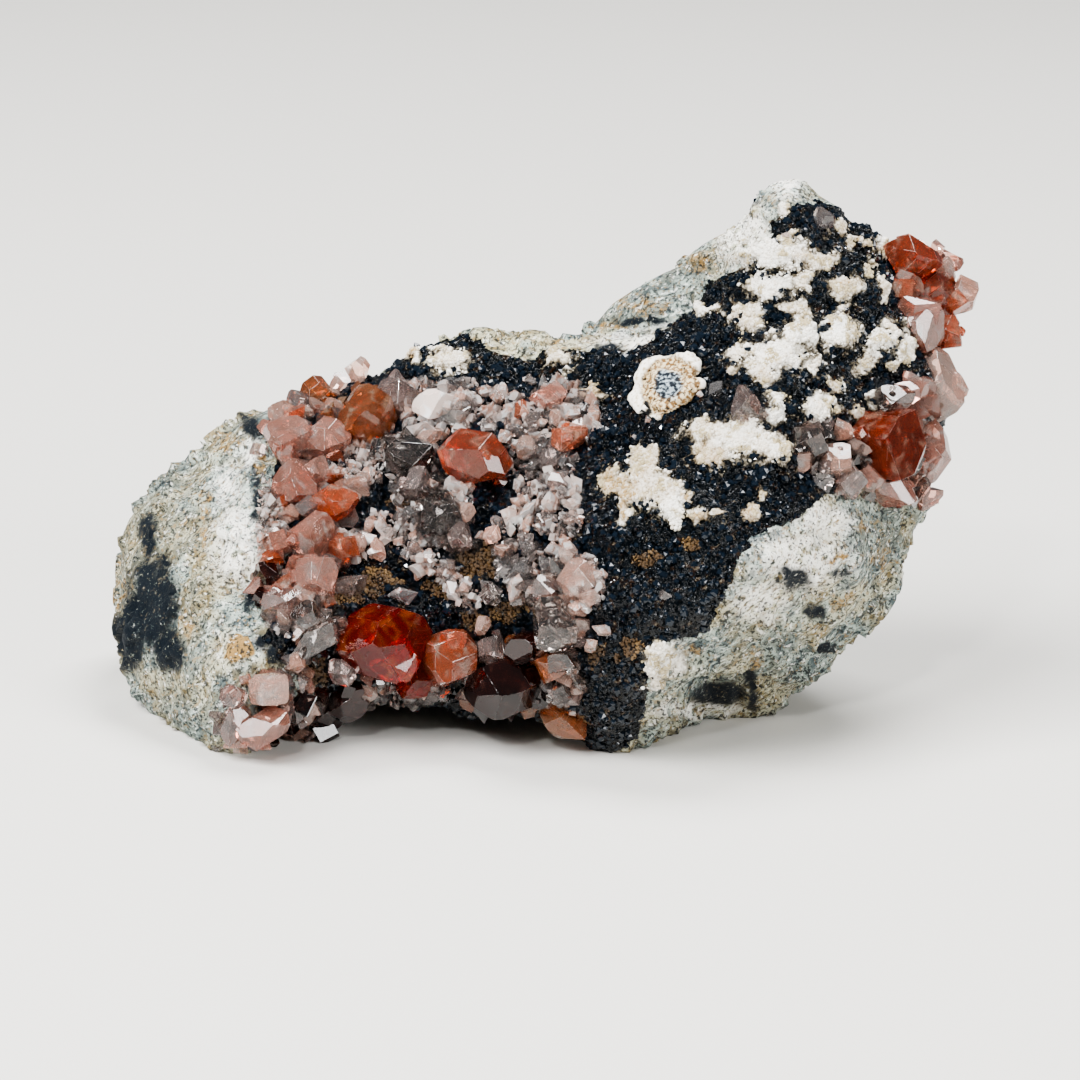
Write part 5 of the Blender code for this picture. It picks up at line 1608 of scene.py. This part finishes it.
class Druse(Enum):
    """How a patch of small crystals looks."""

    FROSTY = CrystalFinish(
        "frosted_pale_rhodochrosite", "#fcefe8", "#e8b9a4", "#fffdfb", "#fbeae1", 16, 0.7, 0.04,
        (0.46, 0.62), 0.8)
    GLASSY = CrystalFinish(
        "clear_small_rhodochrosite", "#fbf6f4", "#e0cfc8", "#fffdfc", "#f4ebe7", 12, 0.94, 0.0,
        (0.60, 0.74), 1.0, lined=0.0)


# Patches of small crystals grown side by side: their look, their size and their outline.
DRUSE_PATCHES = (
    (Druse.FROSTY, 1, ((-11.3, 12.9), (-8.1, 13.1), (-4.8, 12.9), (-1.6, 11.7), (1.6, 13.1), (4.2, 11.5),
                       (4.8, 8.9), (2.8, 8.1), (0, 8.9), (-3.2, 8.9), (-5.6, 9.3), (-8.1, 8.1),
                       (-10.9, 8.9), (-11.7, 10.9))),
    (Druse.GLASSY, 0.95, ((-2.8, 9.3), (0.6, 9.3), (2.6, 7.7), (2.8, 3.6), (0.4, 3.2), (-2, 4.8),
                          (-3.2, 6.9))),
    (Druse.FROSTY, 0.9, ((-1.6, 4.8), (1.6, 5.2), (3.2, 4), (3.5, 0.8), (1.8, -0.4), (-0.4, 0.8),
                         (-2.8, 0.4), (-3.6, 1.6), (-2, 3.2))),
    (Druse.GLASSY, 1.05, ((-4, 0), (-0.8, 0.4), (1.2, -1.6), (0.6, -4.8), (-1.6, -5.2), (-3.6, -3.2))),
    (Druse.FROSTY, 0.95, ((1, -0.4), (2.8, -0.4), (5.1, -2.4), (5.2, -4.8), (3.2, -5.8), (1.3, -5),
                          (0.6, -2.8))),
    (Druse.FROSTY, 0.8, ((-13.7, 2.3), (-11.5, 2.3), (-9.4, 0.4), (-7.6, -1.5), (-6, -3.2), (-4.5, -4.7),
                         (-5.2, -5.8), (-6.8, -5.3), (-8.2, -3.2), (-10.3, -1.3), (-12.6, 0.2),
                         (-13.9, 1.1))),
    (Druse.FROSTY, 0.9, ((-16.5, 0.8), (-14.4, 0.8), (-13.1, -0.4), (-13.5, -1.8), (-15.7, -1.3),
                         (-16.5, -0.4))),
    (Druse.FROSTY, 0.9, ((-8.9, 4.8), (-5.8, 5), (-5.3, 2.8), (-6.9, 1.5), (-8.7, 2.3), (-9.4, 3.5))),
    (Druse.GLASSY, 0.9, ((-12.6, 8.9), (-9.7, 8.9), (-8.1, 7.3), (-8.9, 4.8), (-8.4, 2.8), (-7.1, 1.2),
                         (-7.4, -0.8), (-9.7, -0.4), (-11.3, 1.6), (-11.9, 4), (-12.7, 6.5))),
    (Druse.FROSTY, 0.6, ((-16.9, 8.1), (-13.5, 8.7), (-11.9, 7.1), (-12.9, 4.7), (-15.7, 4.8), (-17.3, 5.8))),
    (Druse.GLASSY, 1.1, ((-21.9, -3.2), (-18.5, -2.8), (-16.9, -4.8), (-17.6, -7.4), (-20.6, -8.1),
                         (-22.4, -6.6))),
    (Druse.FROSTY, 0.6, ((-22.4, 5.6), (-20.6, 3.2), (-20.2, 0), (-21.1, -3.2), (-22.4, -4), (-22.9, 0),
                         (-22.7, 3.2))),
    (Druse.GLASSY, 0.8, ((-14.1, -11.5), (-11.3, -11.3), (-7.3, -11.6), (-7.1, -12.9), (-9.7, -13.4),
                         (-13.5, -13.2))),
    (Druse.FROSTY, 0.7, ((0.8, -9.3), (2.8, -9.3), (3.2, -12.1), (2.6, -14.1), (1, -12.9))),
)
# Small crystals that stand by themselves: across, up, long, wide, turn, and whether they are frosty.
STRAY_CRYSTALS = (
    (5, -7.2, 1.77, 1.13, -20, 1), (4.1, -8.5, 1.45, 1.21, 40, 1), (4.4, -4.8, 0.73, 1.05, 80, 0),
    (14.2, 12.1, 1.94, 1.45, 60, 0), (27.5, 11.5, 1.45, 1.05, -40, 0), (22.7, 25.9, 2.26, 1.77, 20, 0),
    (-9.8, -2.4, 1.13, 1.77, 60, 1), (-13.4, -0.9, 1.37, 1.94, 80, 1), (-15.2, 0, 2.42, 1.45, -30, 1),
    (-3.9, 0.6, 1.29, 1.45, 70, 1), (-4.8, 0.3, 1.21, 0.97, 20, 1), (-2.9, -0.6, 1.94, 1.21, 10, 0),
    (-2.9, -2.4, 0.97, 1.05, 50, 1), (-4, -4.2, 1.94, 1.94, 30, 0), (-7.2, 9.8, 3.06, 1.21, 15, 0),
    (-6.7, 12.3, 0.97, 0.97, 0, 0), (-0.7, 12.9, 0.65, 1.61, 80, 1), (-3.8, 10.5, 1.61, 1.13, 10, 1),
    (0, 10, 1.13, 1.29, 90, 0), (1, 9.9, 1.13, 1.29, 60, 0), (4, 9.6, 1.61, 0.65, -10, 1),
    (-15.5, -3.7, 2.1, 2.74, -60, 0), (-11, -4.5, 2.74, 1.45, 5, 0), (-19.6, -9.9, 1.77, 1.29, 30, 1),
    (-25.9, -16.8, 1.13, 0.73, 10, 0), (-8.7, -12.3, 3.23, 1.21, 0, 0), (-10.5, -12.6, 2.1, 1.29, 10, 0),
    (1.8, -9.8, 1.61, 1.77, 60, 0), (0.9, -11.6, 1.77, 2.1, 70, 0), (-4.5, -6.9, 1.45, 0.97, 0, 0),
    (12.9, 11.7, 0.65, 0.65, 0, 1), (8.7, 9.7, 0.65, 0.73, 30, 1), (7.6, 8.3, 0.56, 0.48, 0, 1),
    (10, -4.4, 1.13, 0.81, 0, 0), (19.8, 24.5, 0.73, 0.73, 0, 1),
)

# The larger crystals of the druse, in the same way as the groups'.
DRUSE_CRYSTALS = rows(
    (-8.6, 11.0, 4.3, 2.5, 10, 10, 0, 1.0, 0.32, Tone.MILKY),
    (-11.6, 10.9, 2.4, 1.5, -20, 10, 40, 1.1, 0.35, Tone.MILKY),
    (-6.6, 9.9, 2.7, 1.7, 25, 15, 40, 1.3, 0.35, Tone.CLEAR),
    (-3.4, 11.7, 1.8, 1.5, 100, 20, 10, 1.1, 0.40, Tone.PEACH),
    (-1.4, 10.4, 2.1, 1.4, 82, 12, 20, 1.3, 0.45, Tone.SALMON),
    (0.7, 11.6, 3.3, 2.2, 12, 12, 55, 1.2, 0.45, Tone.PINK),
    (-0.7, 12.8, 1.5, 0.9, 105, 10, 30, 1.6, 0.35, Tone.CLEAR),
    (1.4, 9.9, 1.8, 1.4, 100, 20, 60, 1.1, 0.40, Tone.PEACH),
    (2.4, 8.4, 3.5, 2.4, 25, 15, 15, 1.2, 0.42, Tone.SALMON),
    (-1.0, 7.4, 2.4, 2.0, 110, 25, 25, 1.1, 0.32, Tone.PEACH),
    (0.8, 6.4, 2.3, 1.9, 60, 20, 65, 1.1, 0.32, Tone.SMOKY),
    (1.5, 4.6, 2.5, 2.0, -70, 20, 0, 1.2, 0.32, Tone.SMOKY),
    (-8.9, 8.3, 2.7, 1.5, 20, 10, 20, 1.2, 0.30, Tone.PEACH),
    (-12.9, 7.0, 2.6, 2.1, 60, 25, 50, 1.0, 0.20, Tone.CLEAR),
    (-13.1, -0.8, 2.2, 1.4, 110, 12, 30, 1.2, 0.40, Tone.PEACH),
    (-14.7, -0.3, 2.0, 1.6, 50, 20, 0, 1.1, 0.35, Tone.PEACH),
    (-9.6, -2.5, 1.9, 1.1, 55, 12, 15, 1.3, 0.50, Tone.PEACH),
    (-3.8, 0.4, 1.9, 1.3, 60, 15, 20, 1.2, 0.45, Tone.PEACH),
    (-2.9, -0.7, 1.9, 1.2, 30, 15, 25, 1.3, 0.45, Tone.PEACH),
    (-3.8, -4.4, 2.2, 1.8, 100, 25, 35, 1.1, 0.40, Tone.CLEAR),
    (-0.5, -4.3, 1.6, 1.3, 60, 20, 15, 1.1, 0.40, Tone.PEACH),
    (3.1, -3.0, 2.6, 2.0, 70, 25, 10, 1.1, 0.36, Tone.PEACH),
    (4.0, -1.9, 1.8, 1.4, 20, 25, 40, 1.1, 0.36, Tone.CLEAR),
    (2.2, -1.3, 1.9, 1.5, 130, 20, 70, 1.1, 0.36, Tone.PEACH),
    (-4.6, -6.9, 1.8, 1.3, 70, 20, 25, 1.2, 0.36, Tone.PEACH),
)


def crystal_stock(count: int) -> list[Shape]:
    """Models a few small crystals, one millimetre long, for copying."""
    rng = random.Random(70)
    stock = []
    for _ in range(count):
        planes = crystal_planes(rng.uniform(1.05, 1.9), 0.5, rng)
        stock.append(Shape.taken(cut_crystal("small_crystal", planes, Vector((1, 0.9, 1)), 0, rng, 2)))
    return stock


class SmallCrystals:
    """The druse of small pale crystals, and the small ones that stand alone."""

    def __init__(self, ground: Ground, stock: list[Shape]) -> None:
        """Takes the rock that they stand on and the crystals to copy."""
        self.ground = ground
        self.shapes = stock

    def one(self, layer: Strewn, place: Row, size: Row, axis: Vector, rng: np.random.Generator, out: float,
            slot: int = 0) -> None:
        """Stands one small crystal on the rock.

        Args:
            layer: The layer that it joins.
            place: Its place in the front view.
            size: Its width and length, in millimetres.
            axis: The way that it points.
            rng: Where its spin comes from.
            out: How far its middle stands out of the rock, in millimetres.
            slot: Which of the layer's materials it has.
        """
        surface, _ = self.ground.under(*place)
        middle = np.array(surface) - np.array(VIEW.sight_line(*place)) * out
        turned = facing(axis, rng.uniform(0, math.tau))
        wide, long = size
        shape = self.shapes[rng.integers(len(self.shapes))]
        layer.drop(shape, turned, np.array((wide, wide, long)), middle, rng.random(), slot)

    def druse(self, kind: Druse, name: str, seed: int) -> bpy.types.Object:
        """Grows every patch of one look.

        Args:
            kind: The look.
            name: The layer's name.
            seed: Where the randomness comes from.

        Returns:
            The layer.
        """
        rng = np.random.default_rng(seed)
        layer = Strewn(name)
        for look, size, outline in DRUSE_PATCHES:
            if look is not kind:
                continue
            places = spread(outline, 0.42 * size, 0.45, rng)
            for place in places[in_outline(places, outline, 0.3) > rng.uniform(0.35, 0.65, len(places))]:
                _, normal = self.ground.under(*place)
                lean = Vector(rng.normal(0, 0.45, 3))
                wide = size * (0.3 + 1.1 * rng.random() ** 2.4)
                tall = wide * rng.uniform(1.2, 2.0)
                other = int(rng.random() < 0.28)
                out = 0.1 + 0.38 * rng.random() * tall
                self.one(layer, tuple(place), (wide, tall), normal + lean, rng, out, other)
        other_kind = Druse.GLASSY if kind is Druse.FROSTY else Druse.FROSTY
        return layer.made(finish(kind, small=True), finish(other_kind, small=True))

    def strays(self) -> bpy.types.Object:
        """Stands the small crystals that grow alone and returns their layer."""
        rng = np.random.default_rng(90)
        layer = Strewn("lone_small_crystals")
        across, up, ahead = (Vector(axis) for axis in VIEW.axes)
        for x, y, long, wide, turn, frosty in STRAY_CRYSTALS:
            angle = math.radians(turn)
            axis = across * math.cos(angle) + up * math.sin(angle) - ahead * 0.35
            self.one(layer, (x, y), (wide, long), axis, rng, 0.3 * wide, int(frosty))
        return layer.made(finish(Druse.GLASSY, small=True), finish(Druse.FROSTY, small=True))

    def named(self, ground: Ground) -> bpy.types.Object:
        """Stands the druse's larger crystals and returns them as one object."""
        rng = random.Random(25)
        made = [piece for crystal in DRUSE_CRYSTALS for piece in crystal.stand(ground, 0.5, rng)]
        return joined(made, "druse_larger_crystals")

    def build(self, ground: Ground) -> None:
        """Builds the larger crystals, the two looks of druse and the lone crystals.

        Args:
            ground: The bare solid that the larger crystals are placed from.
        """
        shown(self.named(ground), "pale_druse", "small_crystal_crust")
        shown(self.druse(Druse.FROSTY, "frosted_druse", 80), "pale_druse")
        shown(self.druse(Druse.GLASSY, "glassy_druse", 81), "clear_crystal")
        shown(self.strays(), "clear_crystal")


# ---------------------------------------------------------------------------------------------------------
# The ring growth


@dataclass(frozen=True)
class RingGrowth:
    """The round growth: a beaded white rim round a tan and grey sugary middle."""

    middle: tuple[float, float] = (10.3, 12.5)
    radius: float = 3.3
    cell: float = 0.14
    notch_side: float = -2.2  # the way from the middle to its notch, in radians from across

    def material(self) -> bpy.types.Material:
        """Returns its material: chalky rim, tan ring and blue-grey middle, by distance from the middle."""
        recipe = Recipe("ringed_chalky_growth", "#d9cdb4")
        add, at = recipe.add, recipe.add(Node.PLACE)
        out, notch = (add(Node.MARK, attribute_name=name) for name in ("out", "notch"))
        fine, specks = add(Node.NOISE, at, per(0.3), 5), add(Node.NOISE, at, per(0.22), 3)
        tan = add(Node.MIX, add(Node.STEP, fine, 0.42, 0.58), "#7a5b36", "#dccaa6")
        tan = add(Node.MIX, add(Node.STEP, specks, 0.57, 0.62), tan, "#1d1a18")
        grey = add(Node.MIX, add(Node.STEP, fine, 0.44, 0.58), "#151c24", "#a9b6bd")
        rim = add(Node.MIX, add(Node.STEP, fine, 0.32, 0.52), "#b7a785", "#f6f2e8")
        colour = add(Node.MIX, add(Node.STEP, out, 0.28, 0.42), grey, tan)
        colour = add(Node.MIX, add(Node.STEP, out, 0.70, 0.80), colour, rim)
        colour = add(Node.MIX, add(Node.STEP, notch, 0.3, 0.7), colour, "#0c0d0f")
        bump = add(Node.BUMP, fine, 0.6, 0.12 * MM)
        add(Node.OUTPUT, add(Node.SHADER, colour, 0.78, None, None, bump))
        return recipe.material

    def build(self) -> bpy.types.Object:
        """Builds the growth from its solid's own form and returns it."""
        obj = node_copy("ring_growth", "beaded_ring_growth")
        modified(obj, "REMESH", mode="VOXEL", voxel_size=self.cell * MM)
        modified(obj, "SMOOTH", factor=0.5, iterations=5)
        points, normals = points_of(obj), normals_of(obj)
        places = VIEW.seen(points)
        out = np.hypot(places[:, 0] - self.middle[0], places[:, 1] - self.middle[1]) / self.radius
        out = out + 0.08 * waves(points, 0.9, 31)
        # The rim is thick at the upper left, thins out at the lower right and has a notch at the lower left.
        away = np.arctan2(places[:, 1] - self.middle[1], places[:, 0] - self.middle[0])
        out = out - 0.12 * np.cos(away + 0.7) * smooth(0.3, 0.8, out)
        notch = np.exp(-(((away - self.notch_side) / 0.2) ** 2)) * smooth(0.5, 0.75, out)
        rim = smooth(0.62, 0.72, out)
        groove = 0.35 * np.exp(-(((out - 0.68) / 0.06) ** 2))
        beads = 0.34 * cells(points, 0.66, 30) * rim + 0.24 * cells(points, 0.4, 32) * (1 - rim) - groove
        put_points(obj, points + normals * (beads - 0.12 - 0.7 * notch)[:, None])
        painted(obj, "out", out)
        painted(obj, "notch", notch)
        obj.data.materials.append(self.material())
        alone(obj)
        bpy.ops.object.shade_smooth()
        return shown(obj, "ring_mineral", "ring_growth")


# ---------------------------------------------------------------------------------------------------------
# The studio


@dataclass(frozen=True)
class SoftBox:
    """One soft light: its place and size in metres, its watts, and whether glossy faces mirror it."""

    name: str
    place: tuple[float, float, float]
    size: float
    watts: float
    mirrored: bool = True

    def hang(self) -> None:
        """Hangs the light, turned to the specimen."""
        light = bpy.data.lights.new(self.name, "AREA")
        light.shape, light.size, light.energy = "SQUARE", self.size, self.watts
        obj = bpy.data.objects.new(self.name, light)
        obj.location = self.place
        aim = Vector((0, 0, 0.018)) - Vector(self.place)
        obj.rotation_euler = aim.to_track_quat("-Z", "Y").to_euler()
        obj.visible_glossy = self.mirrored
        bpy.context.scene.collection.objects.link(obj)


@dataclass(frozen=True)
class Studio:
    """A plain pale floor, soft light and the front view's camera."""

    lights: tuple[SoftBox, ...] = (
        SoftBox("high_left_softbox", (-0.32, -0.30, 0.52), 0.42, 9.0, False),
        SoftBox("front_right_softbox", (0.5, -0.4, 0.26), 0.26, 2.8),
        SoftBox("top_softbox", (0.12, 0.20, 0.6), 0.3, 4.6),
        SoftBox("low_left_softbox", (-0.55, -0.25, 0.12), 0.16, 0.9),
        SoftBox("small_bright_lamp", (-0.12, -0.55, 0.42), 0.05, 1.6),
    )

    def floor(self) -> None:
        """Lays the floor."""
        bpy.ops.object.select_all(action="DESELECT")
        bpy.ops.mesh.primitive_plane_add(size=4.0, location=(0, 0, -0.00002))
        floor = bpy.context.active_object
        floor.name = "pale_floor"
        paper = Recipe("matt_pale_paper", "#e6e4e0")
        paper.add(Node.OUTPUT, paper.add(Node.SHADER, "#dddbd6", 0.9))
        floor.data.materials.append(paper.material)

    def build(self) -> None:
        """Sets up the floor, the lights, the world's light and the camera."""
        self.floor()
        for light in self.lights:
            light.hang()
        world = bpy.data.worlds.new("soft_room")
        world.use_nodes = True
        background = world.node_tree.nodes["Background"]
        background.inputs["Color"].default_value = linear("#e8eaee")
        background.inputs["Strength"].default_value = 0.2
        bpy.context.scene.world = world
        VIEW.camera()


def main() -> None:
    """Builds the specimen piece by piece and sets up the studio."""
    solid = node_copy("matrix_rock", "bare_solid_rock")
    cad_ground = Ground(solid)
    bpy.data.objects.remove(solid)
    rock = HostRock().build()
    rock_ground = Ground(rock)
    Coatings().build(rock)
    stock = crystal_stock(9)
    SmallCrystals(rock_ground, stock).build(cad_ground)
    for group in GROUPS:
        group.build(cad_ground, rock_ground, stock)
    RingGrowth().build()
    Studio().build()
    bpy.context.scene.view_settings.look = "AgX - Medium High Contrast"


if __name__ == "__main__":
    main()
